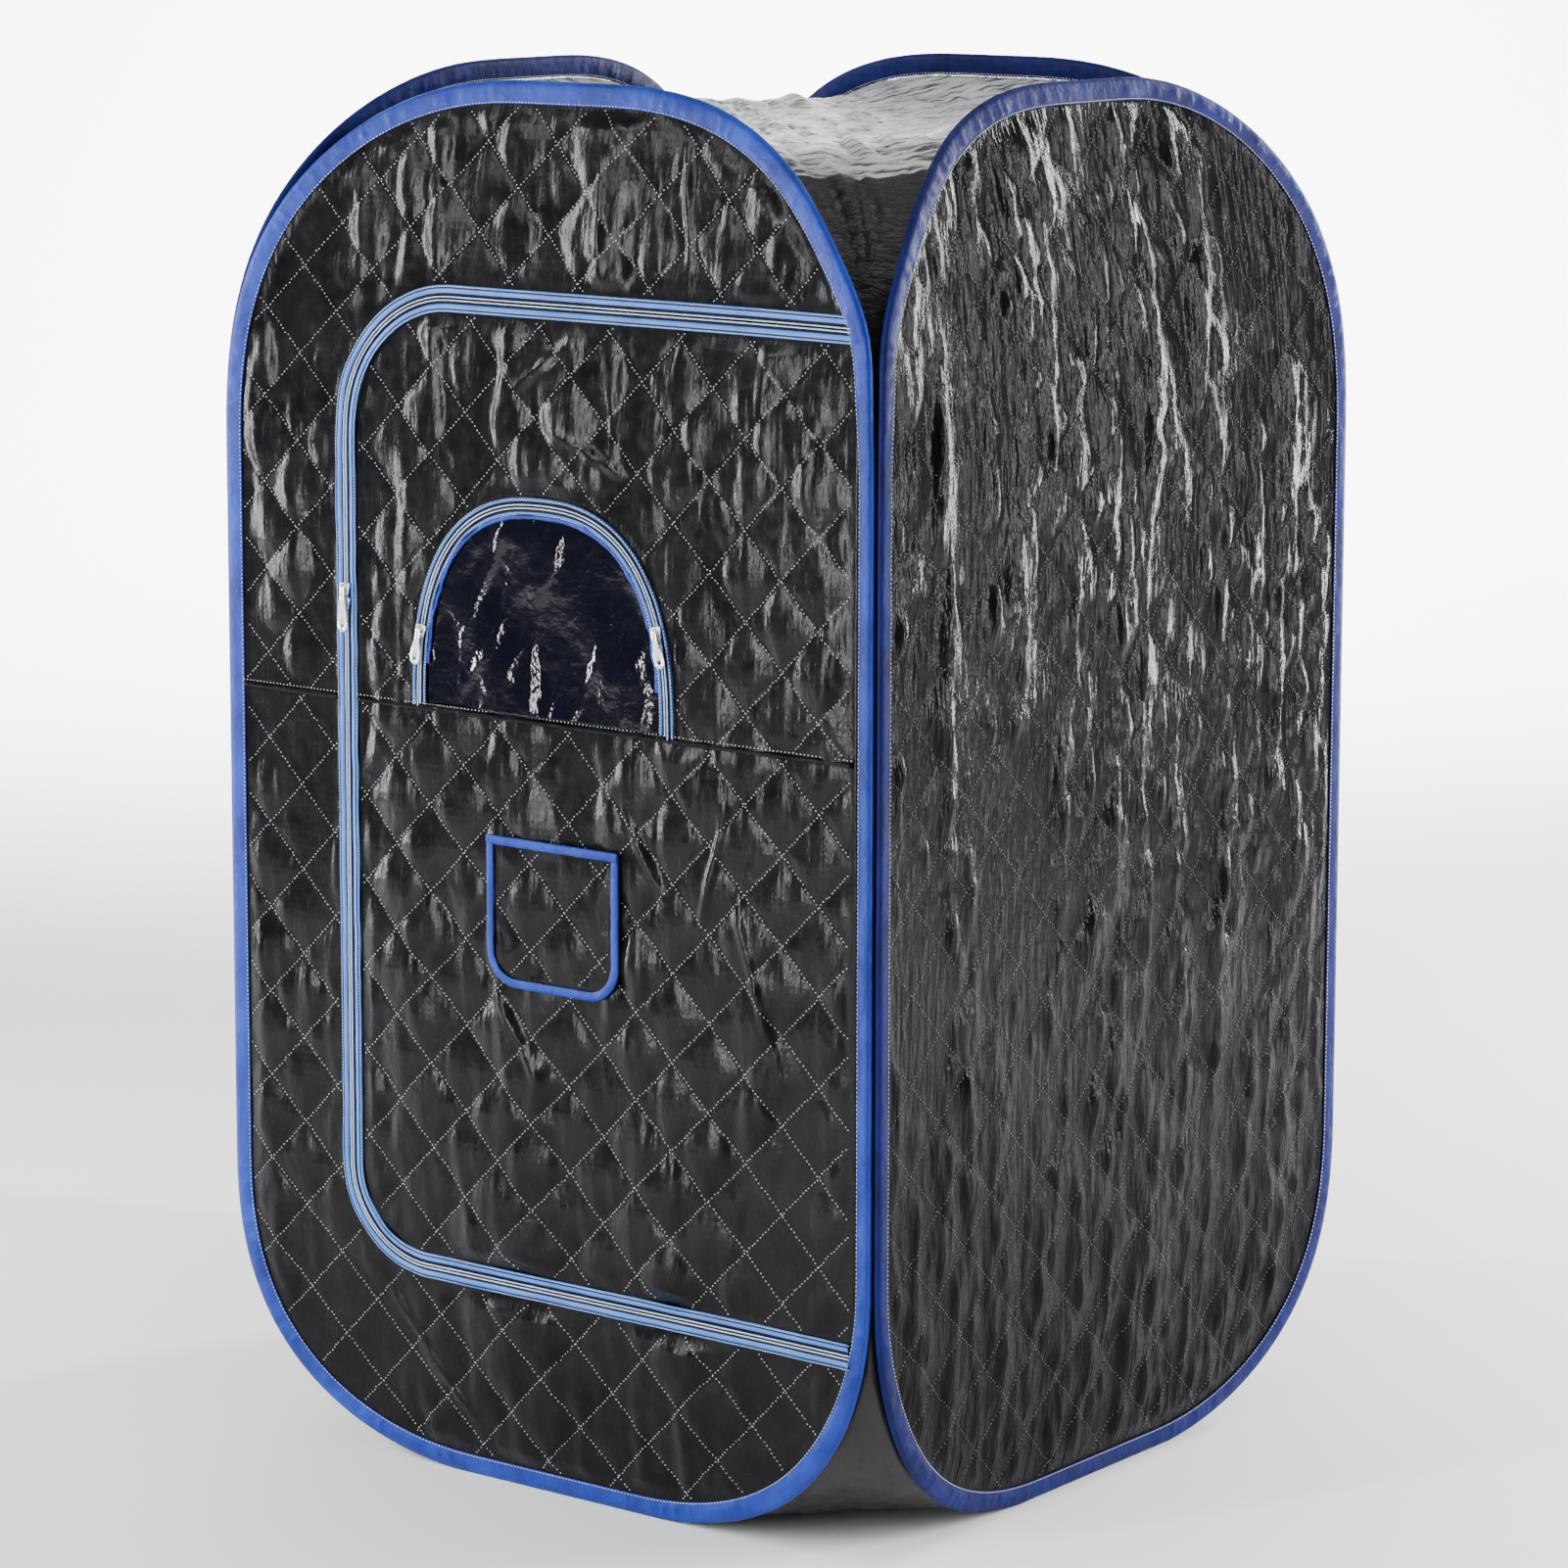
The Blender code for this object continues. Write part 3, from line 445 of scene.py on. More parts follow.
class Nodes:
    """Short calls for building one material's node tree."""

    def __init__(self, name):
        self.material = bpy.data.materials.new(name)
        self.material.use_nodes = True
        self.tree = self.material.node_tree
        self.shader = self.tree.nodes["Principled BSDF"]

    def add(self, kind, **settings):
        """A shader node, with values for its inputs and its own settings."""
        node = self.tree.nodes.new("ShaderNode" + kind)
        for key, value in settings.items():
            if key in node.inputs:
                node.inputs[key].default_value = value
            else:
                setattr(node, key, value)
        return node

    def link(self, source, target):
        self.tree.links.new(source, target)

    def set(self, **values):
        """Plain values for inputs of the material."""
        for key, value in values.items():
            self.shader.inputs[key.replace("_", " ")].default_value = value

    def uv(self, scale=(1, 1, 1), turn=0.0):
        """The cloth map's place, turned first when turn is given and then scaled."""
        where = self.add("TexCoord")
        mapping = self.add("Mapping", vector_type="TEXTURE" if turn else "POINT")
        if turn:
            mapping.inputs["Rotation"].default_value = (0, 0, turn)
            scale = tuple(1 / value for value in scale)
        mapping.inputs["Scale"].default_value = scale
        self.link(where.outputs["UV"], mapping.inputs["Vector"])
        return mapping.outputs["Vector"]

    def space(self, scale=(1, 1, 1)):
        """The object's own place, scaled."""
        where = self.add("TexCoord")
        mapping = self.add("Mapping")
        mapping.inputs["Scale"].default_value = scale
        self.link(where.outputs["Object"], mapping.inputs["Vector"])
        return mapping.outputs["Vector"]

    def noise(self, vector, scale, detail=3.0, roughness=0.55):
        node = self.add("TexNoise", Scale=scale, Detail=detail, Roughness=roughness)
        self.link(vector, node.inputs["Vector"])
        return node.outputs["Fac"]

    def wave(self, vector, scale, direction):
        node = self.add("TexWave", Scale=scale, Distortion=0.0)
        node.bands_direction = direction
        self.link(vector, node.inputs["Vector"])
        return node.outputs["Fac"]

    def math(self, operation, a, b):
        node = self.add("Math", operation=operation)
        for socket, value in zip(node.inputs, (a, b)):
            if isinstance(value, (int, float)):
                socket.default_value = value
            else:
                self.link(value, socket)
        return node.outputs[0]

    def span(self, value, low, high, start=0.0, end=1.0):
        """Maps start..end to low..high."""
        node = self.add("MapRange")
        for key, number in zip(("From Min", "From Max", "To Min", "To Max"), (start, end, low, high)):
            node.inputs[key].default_value = number
        self.link(value, node.inputs["Value"])
        return node.outputs["Result"]

    def mix(self, factor, low, high):
        """Colour between low and high."""
        node = self.add("Mix", data_type="RGBA")
        self.link(factor, node.inputs["Factor"])
        for socket, colour in zip((node.inputs["A"], node.inputs["B"]), (low, high)):
            if isinstance(colour, tuple):
                socket.default_value = (*colour, 1)
            else:
                self.link(colour, socket)
        return node.outputs["Result"]

    def bump(self, height, distance, strength=1.0, over=None):
        node = self.add("Bump", Distance=distance, Strength=strength)
        self.link(height, node.inputs["Height"])
        if over is not None:
            self.link(over, node.inputs["Normal"])
        return node.outputs["Normal"]

    def use(self, socket, value):
        """Drives an input of the material with a node."""
        self.link(value, self.shader.inputs[socket])


def woven(name, dark, light, roughness, pitch=0.0012, crease=0.0006, specular=0.5, metallic=0.0,
          crease_scale=130, stretch=0.35):
    """Cloth with a plain weave, patchy colour and shine, and fine creases drawn out along V."""
    m = Nodes(name)
    uv = m.uv()
    patch = m.noise(uv, 14)
    m.use("Base Color", m.mix(m.span(patch, 0, 1, 0.35, 0.65), dark, light))
    m.use("Roughness", m.span(m.noise(uv, 55), roughness[0], roughness[1], 0.3, 0.7))
    m.set(Specular_IOR_Level=specular, Metallic=metallic)
    warp = m.wave(uv, 1 / (pitch * 20), "X")
    weft = m.wave(uv, 1 / (pitch * 20), "Y")
    weave = m.bump(m.math("MAXIMUM", warp, weft), pitch * 0.12, 0.5)
    streaks = m.noise(m.uv((1, stretch, 1)), crease_scale, 4)
    m.use("Normal", m.bump(streaks, crease, 1.0, weave))
    return m.material


def roof_material():
    """Silvery crinkled sheet, with painted shade in the hollows of its crinkles, and near black within
    reach of its corners as painted shade where the sheet bends down over the hoops. The corner map's
    U is the distance from the nearest corner."""
    m = Nodes("roof_sheet")
    uv = m.uv()
    corner_map = m.add("UVMap", uv_map="corner")
    split = m.add("SeparateXYZ")
    m.link(corner_map.outputs["UV"], split.inputs["Vector"])
    # Painted shade: near black within reach of the corners, where the sheet bends down, and silver
    # elsewhere.
    sheet = m.math("GREATER_THAN", split.outputs["X"], CORNER_SHADE_REACH)
    crinkles = m.noise(m.uv((0.20, 1, 1), math.radians(40)), 105, 6, 0.66)
    # Painted shade in the crinkles: darker in their hollows, from the same noise as their bump.
    silver_with_crinkle_shade = m.mix(m.span(crinkles, 0, 1, 0.41, 0.53), (0.030, 0.030, 0.034), (0.56, 0.56, 0.57))
    # The near black satin colour of the corners is painted shade.
    satin = m.mix(m.noise(uv, 14), (0.0030, 0.0030, 0.0036), (0.0075, 0.0075, 0.0085))
    m.use("Base Color", m.mix(sheet, satin, silver_with_crinkle_shade))
    m.use("Roughness", m.span(m.noise(uv, 60), 0.24, 0.42, 0.3, 0.7))
    m.use("Metallic", m.math("MULTIPLY", sheet, 0.3))
    m.set(Specular_IOR_Level=0.25)
    m.use("Normal", m.bump(crinkles, 0.0060, 1.0))
    return m.material


def make_materials():
    """Every material of the cabin, by a short name."""
    black = (0.0028, 0.0028, 0.0034), (0.0065, 0.0065, 0.0075)
    made = {
        "satin": woven("quilt_satin", *black, (0.14, 0.30), crease=0.0005, specular=0.11,
                       crease_scale=190, stretch=0.22),
        "crinkled": woven("crinkled_satin", *black, (0.12, 0.24), crease=0.0034, specular=0.045,
                          crease_scale=95, stretch=0.20),
        "bright": woven("binding_bright", (0.003, 0.016, 0.170), (0.009, 0.036, 0.300), (0.42, 0.60),
                        pitch=0.0010, crease=0.0018, specular=0.2, crease_scale=90, stretch=1.0),
        "dark": woven("binding_dark", (0.002, 0.004, 0.050), (0.005, 0.009, 0.095), (0.50, 0.68),
                      pitch=0.0010, crease=0.0018, specular=0.12, crease_scale=90, stretch=1.0),
        "tape": woven("zip_tape", (0.020, 0.110, 0.440), (0.045, 0.180, 0.580), (0.50, 0.65),
                      pitch=0.0008, crease=0.0002),
        "coil": woven("zip_coil", (0.380, 0.470, 0.660), (0.500, 0.590, 0.780), (0.30, 0.42),
                      pitch=0.0010, crease=0.0001),
        # Near black painted shade for the gaps beside and under the zip coils.
        "painted_groove_shade": woven("zip_painted_groove_shade", (0.003, 0.004, 0.014), (0.005, 0.007, 0.022), (0.55, 0.70),
                        crease=0.0002, specular=0.2),
        "thread": woven("thread", (0.55, 0.55, 0.57), (0.74, 0.74, 0.76), (0.45, 0.60),
                        pitch=0.0006, crease=0.0001),
        "thread_dark": woven("thread_dark", (0.12, 0.12, 0.13), (0.20, 0.20, 0.21), (0.45, 0.60),
                             pitch=0.0006, crease=0.0001),
        "lining": woven("lining_foil", (0.50, 0.51, 0.53), (0.66, 0.67, 0.69), (0.22, 0.38),
                        crease=0.0012, metallic=0.75),
        "roof": roof_material(),
        "floor": woven("floor_sheet", (0.006, 0.006, 0.007), (0.012, 0.012, 0.013), (0.35, 0.55),
                       pitch=0.0016, crease=0.0014, specular=0.3),
    }

    # The clear film is coloured near black navy: its own navy tint, and painted shade of the unlit cabin
    # seen through it.
    film = Nodes("window_film")
    uv = film.uv()
    tint_and_cabin_shade = film.mix(film.noise(uv, 9), (0.0006, 0.0007, 0.0032), (0.0016, 0.0017, 0.0065))
    film.use("Base Color", tint_and_cabin_shade)
    film.use("Roughness", film.span(film.noise(uv, 30), 0.05, 0.14, 0.3, 0.7))
    film.set(Specular_IOR_Level=0.20)
    film.use("Normal", film.bump(film.noise(uv, 40, 3), 0.0030, 0.8))

    metal = Nodes("zip_metal")
    where = metal.space()
    metal.use("Base Color", metal.mix(metal.noise(where, 300), (0.74, 0.75, 0.76), (0.88, 0.88, 0.89)))
    metal.use("Roughness", metal.span(metal.noise(where, 600, 5), 0.16, 0.34, 0.3, 0.7))
    metal.set(Metallic=0.85)
    metal.use("Normal", metal.bump(metal.noise(metal.space((1, 1, 0.1)), 2500), 0.00006, 0.5))

    steel = Nodes("spring_steel")
    where = steel.space((1, 1, 0.02))
    steel.use("Base Color", steel.mix(steel.noise(where, 900), (0.36, 0.37, 0.39), (0.52, 0.53, 0.55)))
    steel.use("Roughness", steel.span(steel.noise(where, 1400), 0.24, 0.42, 0.3, 0.7))
    steel.set(Metallic=1.0)

    plastic = Nodes("inlet_plastic")
    where = plastic.space()
    black = plastic.mix(plastic.noise(where, 40), (0.018, 0.018, 0.020), (0.030, 0.030, 0.032))
    plastic.use("Base Color", black)
    plastic.use("Roughness", plastic.span(plastic.noise(where, 300), 0.38, 0.55, 0.3, 0.7))
    plastic.use("Normal", plastic.bump(plastic.noise(where, 1800, 2), 0.00008, 0.6))
    made.update(film=film.material, metal=metal.material, steel=steel.material, plastic=plastic.material)
    return made


# ---- Quilting


def quilt_diamonds():
    """Cloth simulation of loose diamonds of quilting, each held along its four stitched sides and
    cut a little larger than they are, so it puffs and wrinkles. Returns, for each diamond, how far
    its points moved along u, along z and outward. It is simulated at ten times its size, where
    Blender's cloth behaves best."""
    count, cells, scale = 24, QUILT_CELLS, 10.0
    half = QUILT_HALF_DIAGONAL * scale
    rng = np.random.default_rng(4)
    a, b = np.meshgrid(*[np.linspace(0, 1, cells + 1)] * 2, indexing="ij")
    edge = (a == 0) | (a == 1) | (b == 0) | (b == 1)
    x, y = (a - b) * half, (a + b - 1) * half
    dome = np.where(edge, 0, np.sin(math.pi * a) * np.sin(math.pi * b))
    start, rest = [], []
    for k in range(count):
        spot = np.array([k % 6, k // 6, 0]) * 3 * half
        bump = 0.015 * dome + 0.006 * np.where(edge, 0, rng.normal(size=edge.shape))
        start.append(np.stack([x, y, bump], axis=-1) + spot)
        wide, tall = 1 + rng.uniform(0.10, 0.20), 1 + rng.uniform(0.02, 0.07)
        rest.append(np.stack([x * wide, y * tall, 0 * x], axis=-1) + spot)
    size = cells + 1
    faces = (np.arange(count)[:, None, None] * size**2 + grid_faces(size)).reshape(-1, 4)
    mesh = bpy.data.meshes.new("diamonds")
    mesh.from_pydata(np.concatenate(start).reshape(-1, 3).tolist(), [], faces.tolist())
    item = bpy.data.objects.new("diamonds", mesh)
    bpy.context.scene.collection.objects.link(item)
    held = item.vertex_groups.new(name="held")
    held.add(np.flatnonzero(np.tile(edge.ravel(), count)).tolist(), 1.0, "REPLACE")
    item.shape_key_add(name="Basis")
    larger = item.shape_key_add(name="larger")
    larger.data.foreach_set("co", np.concatenate(rest).ravel().astype(np.float32))
    cloth = item.modifiers.new("cloth", "CLOTH")
    cloth.point_cache.frame_end = 32
    settings = cloth.settings
    settings.vertex_group_mass = "held"
    settings.rest_shape_key = larger
    settings.quality = 8
    settings.tension_stiffness = settings.compression_stiffness = 15
    settings.bending_stiffness = 0.1
    settings.use_pressure = True
    settings.uniform_pressure_force = 6
    settings.effector_weights.gravity = 0
    scene = bpy.context.scene
    for number in range(1, 29):
        scene.frame_set(number)
    done = item.evaluated_get(bpy.context.evaluated_depsgraph_get()).to_mesh()
    points = np.empty(len(done.vertices) * 3)
    done.vertices.foreach_get("co", points)
    moved = points.reshape(count, size, size, 3) - np.array(start) * (1, 1, 0)
    scene.frame_set(1)
    bpy.data.objects.remove(item)
    dents = moved[..., 2].min(axis=(1, 2))
    return moved[np.argsort(-dents)[:16]] / scale


class Quilt:
    """The quilted cloth of one wall: a grid whose lines run along the stitch lines."""

    def __init__(self, seed, ripple, puff, area, holes, borders):
        self.seed, self.puff, self.area, self.holes, self.borders = seed, puff, area, holes, borders
        tilt = 0.10 if seed % 2 else -0.12
        self.folds = [
            (ripple[0], ripple_field(seed, 0.030, 0.120, tilt)),
            (ripple[1], ripple_field(seed + 50, 0.0085, 0.050, tilt / 2)),
            (ripple[2], ripple_field(seed + 90, 0.0055, 0.016)),
        ]
        self.gather = ripple_line(seed + 7, 0.0085)

    def within(self, points):
        """Which points the cloth covers."""
        keep = inside(points, self.area)
        for hole in self.holes:
            keep &= ~inside(points, hole)
        return keep

    def edge_gap(self, points):
        """Distance to the nearest sewn-down border, and the height of the gathers along it."""
        best, gathers = np.full(len(points), np.inf), np.zeros(len(points))
        for number, line in enumerate(self.borders):
            gap, along, _ = nearest(points, line)
            closer = gap < best
            best[closer] = gap[closer]
            height = self.gather(along[closer] + 1.7 * number) * np.exp(-gap[closer] / 0.016)
            gathers[closer] = height
        shown = inside(points, self.borders[0])
        for line in self.borders[1:]:
            shown &= ~inside(points, line)
        best[~shown] = 0
        return best, gathers

    def drape(self, points):
        """The height of the cloth's folds and gathers at points, and the share of its puff there."""
        gap, gathers = self.edge_gap(points)
        free = step_up(gap, 0.002, 0.022)
        height = 0.0010 * np.maximum(gathers, -0.5) * step_up(gap, 0.0, 0.008)
        for start, end in CREASES if self.seed == WALL_SEED else ():
            start, way = np.array(start), np.subtract(end, start)
            share = np.clip((points - start) @ way / (way @ way), 0, 1)
            off = np.linalg.norm(points - start - share[:, None] * way, axis=1)
            ridge = CREASE_HEIGHT * np.exp(-((off / CREASE_WIDTH) ** 2))
            height += ridge * np.sin(math.pi * (0.15 + 0.7 * share)) * free
        for size, field in self.folds:
            value = field(points[:, 0], points[:, 1])
            height += size * (np.abs(value) ** 1.3 * np.sign(value)) * (0.25 + 0.75 * free)
        seam = np.abs(points[:, 1] - SEAM_Z)
        return height * step_up(gap, 0.0, 0.008), free * (0.35 + 0.65 * step_up(seam, 0.0, 0.020))


def lattice(cells):
    """Grid positions that cover a wall, along the two directions of the stitch lines."""
    half = QUILT_HALF_DIAGONAL / cells
    low, high = (-HALF, 0.0), (HALF, HEIGHT)
    (pu, pz), corners = QUILT_PHASE, []
    for u in (low[0], high[0]):
        for z in (low[1], high[1]):
            corners.append((((z - pz) + (u - pu)) / 2 / half, ((z - pz) - (u - pu)) / 2 / half))
    corners = np.array(corners)
    first = (np.floor(corners.min(0) / cells) * cells).astype(int)
    last = (np.ceil(corners.max(0) / cells) * cells).astype(int)
    i, j = np.meshgrid(np.arange(first[0], last[0] + 1), np.arange(first[1], last[1] + 1), indexing="ij")
    return i, j, pu + (i - j) * half, pz + (i + j) * half, half


def quilt_surface(quilt, diamonds, cells=QUILT_CELLS):
    """The grid points of a quilt, trimmed to its area, with the simulated puff on them."""
    i, j, u, z, half = lattice(cells)
    points = np.stack([u.ravel(), z.ravel()], axis=1)
    rough = (np.abs(points[:, 0]) < HALF) & (points[:, 1] > 0) & (points[:, 1] < HEIGHT)
    keep = np.zeros(len(points), bool)
    keep[rough] = quilt.within(points[rough])
    faces, used, rim = trimmed(keep.reshape(u.shape))
    grid = np.stack([u[used], z[used]], axis=1)
    lines = [np.concatenate([ring, ring[:1]]) for ring in [quilt.area, *quilt.holes]]
    best = np.full(rim.sum(), np.inf)
    target = grid[rim].copy()
    for line in lines:
        gap, _, spot = nearest(grid[rim], line)
        closer = (gap < best) & (gap < 4 * half)
        best[closer], target[closer] = gap[closer], spot[closer]
    moved = grid.copy()
    moved[rim] = target
    column, row = i[used] // cells, j[used] // cells
    li, lj = i[used] % cells, j[used] % cells
    pick = (column * 7919 + row * 104729 + quilt.seed * 613) % 9973
    variant, flip = pick % len(diamonds), (pick // 31) % 2 == 1
    size = 0.75 + 0.5 * ((pick * 37) % 101) / 101
    stride = QUILT_CELLS // cells
    first, second = np.where(flip, lj, li) * stride, np.where(flip, li, lj) * stride
    relief = diamonds[variant, first, second] * size[:, None] * quilt.puff
    relief[:, 0] *= np.where(flip, -1, 1)
    height, free = quilt.drape(moved)
    moved += relief[:, :2] * free[:, None]
    return moved, height + relief[:, 2] * free, faces


def quilt_stitches(quilt, spacing=STITCH_PITCH):
    """Places of the stitches along the quilting lines, and which way each one points."""
    _, _, _, _, half = lattice(1)
    rng = np.random.default_rng(quilt.seed + 11)
    places, ways = [], []
    reach = WIDTH + HEIGHT
    run = np.arange(-reach, reach, spacing)
    for way in ((1, 1), (-1, 1)):
        across = (-way[1], way[0])
        for k in range(-30, 31):
            centre = np.array(QUILT_PHASE) + np.array(across) * half * k
            shift = rng.normal(0, spacing * 0.08, size=(len(run), 2))
            places.append(centre + run[:, None] * np.array(way) / math.sqrt(2) + shift)
            ways.append(np.tile(way, (len(run), 1)))
    places, ways = np.concatenate(places), np.concatenate(ways) / math.sqrt(2)
    rough = (np.abs(places[:, 0]) < HALF) & (places[:, 1] > 0) & (places[:, 1] < HEIGHT)
    places, ways = places[rough], ways[rough]
    keep = quilt.within(places)
    places, ways = places[keep], ways[keep]
    gap, _ = quilt.edge_gap(places)
    keep = (gap > 0.003) & (np.abs(places[:, 1] - SEAM_Z) > 0.004)
    return places[keep], ways[keep]


def stitch_beads(name, places, ways, v, turns, material, size=(0.0022, 0.0017, 0.0013)):
    """Stitches at (u, z) places on a wall, at v through its thickness."""
    step = 0.002
    centre = on_wall(places, v, turns)
    ahead = on_wall(places + ways * step, v, turns)
    out = on_wall(places, v - step, turns) - centre
    return beads(name, centre, ahead - centre, out / step, size, material)


def wall_areas(name):
    """Area, holes and sewn-down borders of a wall's cloth."""
    area = outline(0.012, FRONT_SEAM_SIDE[name])[:-1]
    borders = [outline(BINDING_DEPTH, FRONT_SEAM_SIDE[name])]
    holes = []
    if name == "door_wall":
        ends = (PANEL_HALF, PANEL_HALF)
        holes = [door_line(0.006, ends)]
        borders.append(door_line(TAPE_EDGE, ends))
    return area, holes, borders


def door_areas():
    """Area, holes and sewn-down borders of the door's cloth."""
    right = PANEL_HALF - 0.012
    area = door_line(-0.006, (right, right))
    window = window_line(0.005, WINDOW_BASE - 0.0005)
    borders = [
        door_line(-TAPE_EDGE, (PANEL_HALF - BINDING_DEPTH, PANEL_HALF - BINDING_DEPTH)),
        window_line(WINDOW_TAPE_EDGE, WINDOW_BASE),
        np.array([(PANEL_HALF - BINDING_DEPTH, DOOR_TOP), (PANEL_HALF - BINDING_DEPTH, DOOR_BOTTOM)]),
    ]
    return area, [window], borders


def build_quilt(name, turns, quilt, diamonds, materials, satin="satin"):
    """Outer cloth of a wall or of the door, with its stitches."""

    def face(height):
        """v of the cloth's outer face."""
        return QUILT_BASE_V - np.maximum(height, -0.0012)

    points, height, faces = quilt_surface(quilt, diamonds)
    world = on_wall(points, face(height), turns)
    cloth = make_object(name + "_cloth", world, faces, materials[satin], uv=points)
    cloth = thicken(outward(cloth, turns), 0.0010)
    places, ways = quilt_stitches(quilt)
    v = face(quilt.drape(places)[0]) - STITCH_LIFT
    thread = materials["thread" if satin == "satin" else "thread_dark"]
    return cloth, stitch_beads(name + "_stitches", places, ways, v, turns, thread)


def outward(item, turns, sign=1):
    """Turns an open sheet's faces away from the cabin (sign 1) or into it (sign -1)."""
    mesh = item.data
    way = wall_points(0, -1, 0, turns) - wall_points(0, 0, 0, turns)
    normals = np.empty(len(mesh.polygons) * 3, np.float32)
    mesh.polygons.foreach_get("normal", normals)
    if normals.reshape(-1, 3).sum(axis=0) @ way * sign < 0:
        mesh.flip_normals()
    return item


def build_lining(name, turns, area, holes, borders, seed, diamonds, materials, cells=7):
    """Inner foil cloth of a wall or of the door."""
    quilt = Quilt(seed, (0.0006, 0.0005, 0.0003), LINING_PUFF, area, holes, borders)
    points, height, faces = quilt_surface(quilt, diamonds, cells)
    world = on_wall(points, LINING_BASE_V + np.maximum(height, -0.0006), turns)
    item = make_object(name + "_foil", world, faces, materials["lining"], uv=points)
    thicken(outward(item, turns, -1), 0.0006)
    flat = np.column_stack([points, np.zeros(len(points))])
    size = points.max(0) - points.min(0)
    return item, dict(flat=tuple(map(float, size)), held="stretched", area=cloth_area(flat, faces))


# ---- Bindings


def build_binding(name, turns, materials):
    """Tape folded over the hoop all round a wall, gathered where the hoop bends, with its stitches."""
    seed = 200 + turns * 10
    seam = FRONT_SEAM_SIDE[name]
    line, along = spaced(outline(0.0, seam), 0.0026, closed=True)
    tangent, inward = directions(line, closed=True)
    turn = np.linalg.norm(np.roll(tangent, -5, axis=0) - np.roll(tangent, 5, axis=0), axis=1)
    curved = step_up(turn, 0.005, 0.06)
    total = along[-1] + along[1]
    blend = step_up(along, total - 0.08, total)

    def loop(number, size):
        """A rippling height along the tape that meets itself where the tape starts."""
        field = ripple_line(seed + number, size)
        return field(along) * (1 - blend) + field(along - total + RIPPLE_REPEAT) * blend

    section = [
        (0.0215, 0.0036), (0.0220, 0.0040), (0.0210, 0.0045), (0.0185, 0.0044), (0.0150, 0.0044),
        (0.0110, 0.0045), (0.0070, 0.0048), (0.0030, 0.0046), (-0.0012, 0.0034), (-0.0026, 0.0),
    ]
    outer = [(o, -v) for o, v in section] + [(o, v) for o, v in section[-2::-1]]
    inner_side = [(0.0150, 0.0034), (0.0080, 0.0036), (0.0030, 0.0028), (0.0014, 0.0)]
    back = [(o, v) for o, v in inner_side] + [(o, -v) for o, v in inner_side[-2::-1]]
    rings = []
    narrow = 1 - SEAM_NARROWING * beside_seam(line, seam)
    puck, roll, edge = loop(0, 0.0065), loop(1, 0.022), loop(2, 0.05)
    for number, (offset, v) in enumerate(outer + back):
        deep = 1.3 * offset / BINDING_DEPTH * (1 - step_up(offset, 0.0150, 0.0200))
        side = -1 if v < 0 else 1
        shown = number < len(outer)
        pleats = np.maximum(1.2 - np.abs(puck), 0)
        height = (0.0024 * pleats * (0.12 + 0.88 * curved) + 0.0004 * (roll + 1)) * deep
        swell = np.maximum(height, 0) if shown else 0 * height
        at = offset * narrow + (0.0006 * edge + 0.0003 * puck) * deep
        place = line + inward * at[:, None]
        rings.append(wall_points(place[:, 0], v + side * swell, np.maximum(place[:, 1], 0), turns))
    tape = materials["bright" if name == "door_wall" else "dark"]
    item = loft(name + "_tape", np.stack(rings, axis=1), tape, closed_path=True)
    rows = []
    spots, _ = spaced(outline(BINDING_DEPTH - 0.0016, seam), 0.0046, closed=True)
    ways, _ = directions(spots, closed=True)
    size = (0.0038, 0.0013, 0.0014)
    for side, where in ((-1, "outside"), (1, "inside")):
        label = f"{name}_edge_stitches_{where}"
        rows.append(stitch_beads(label, spots, ways, side * 0.0050, turns, materials["thread"], size))
    return [item, *rows]


# ---- Zips


def strip_along(name, line, section, materials, step=0.004, ripple=(0, 0.010, 0.0), slots=None):
    """A strip of the given (offset, v) section along a (u, z) line on the door wall. Offset is to the
    line's left. ripple is the seed, size and height of the ripples at the strip's edge."""
    path, along = spaced(line, step)
    _, left = directions(path)
    seed, size, height = ripple
    lift = height * ripple_line(seed, size)(along)
    widest = max(abs(o) for o, _ in section)
    rings = []
    for offset, v in section:
        rings.append(on_wall(path + left * offset, v - lift * abs(offset) / widest))
    return loft(name, np.stack(rings, axis=1), materials, slots=slots)


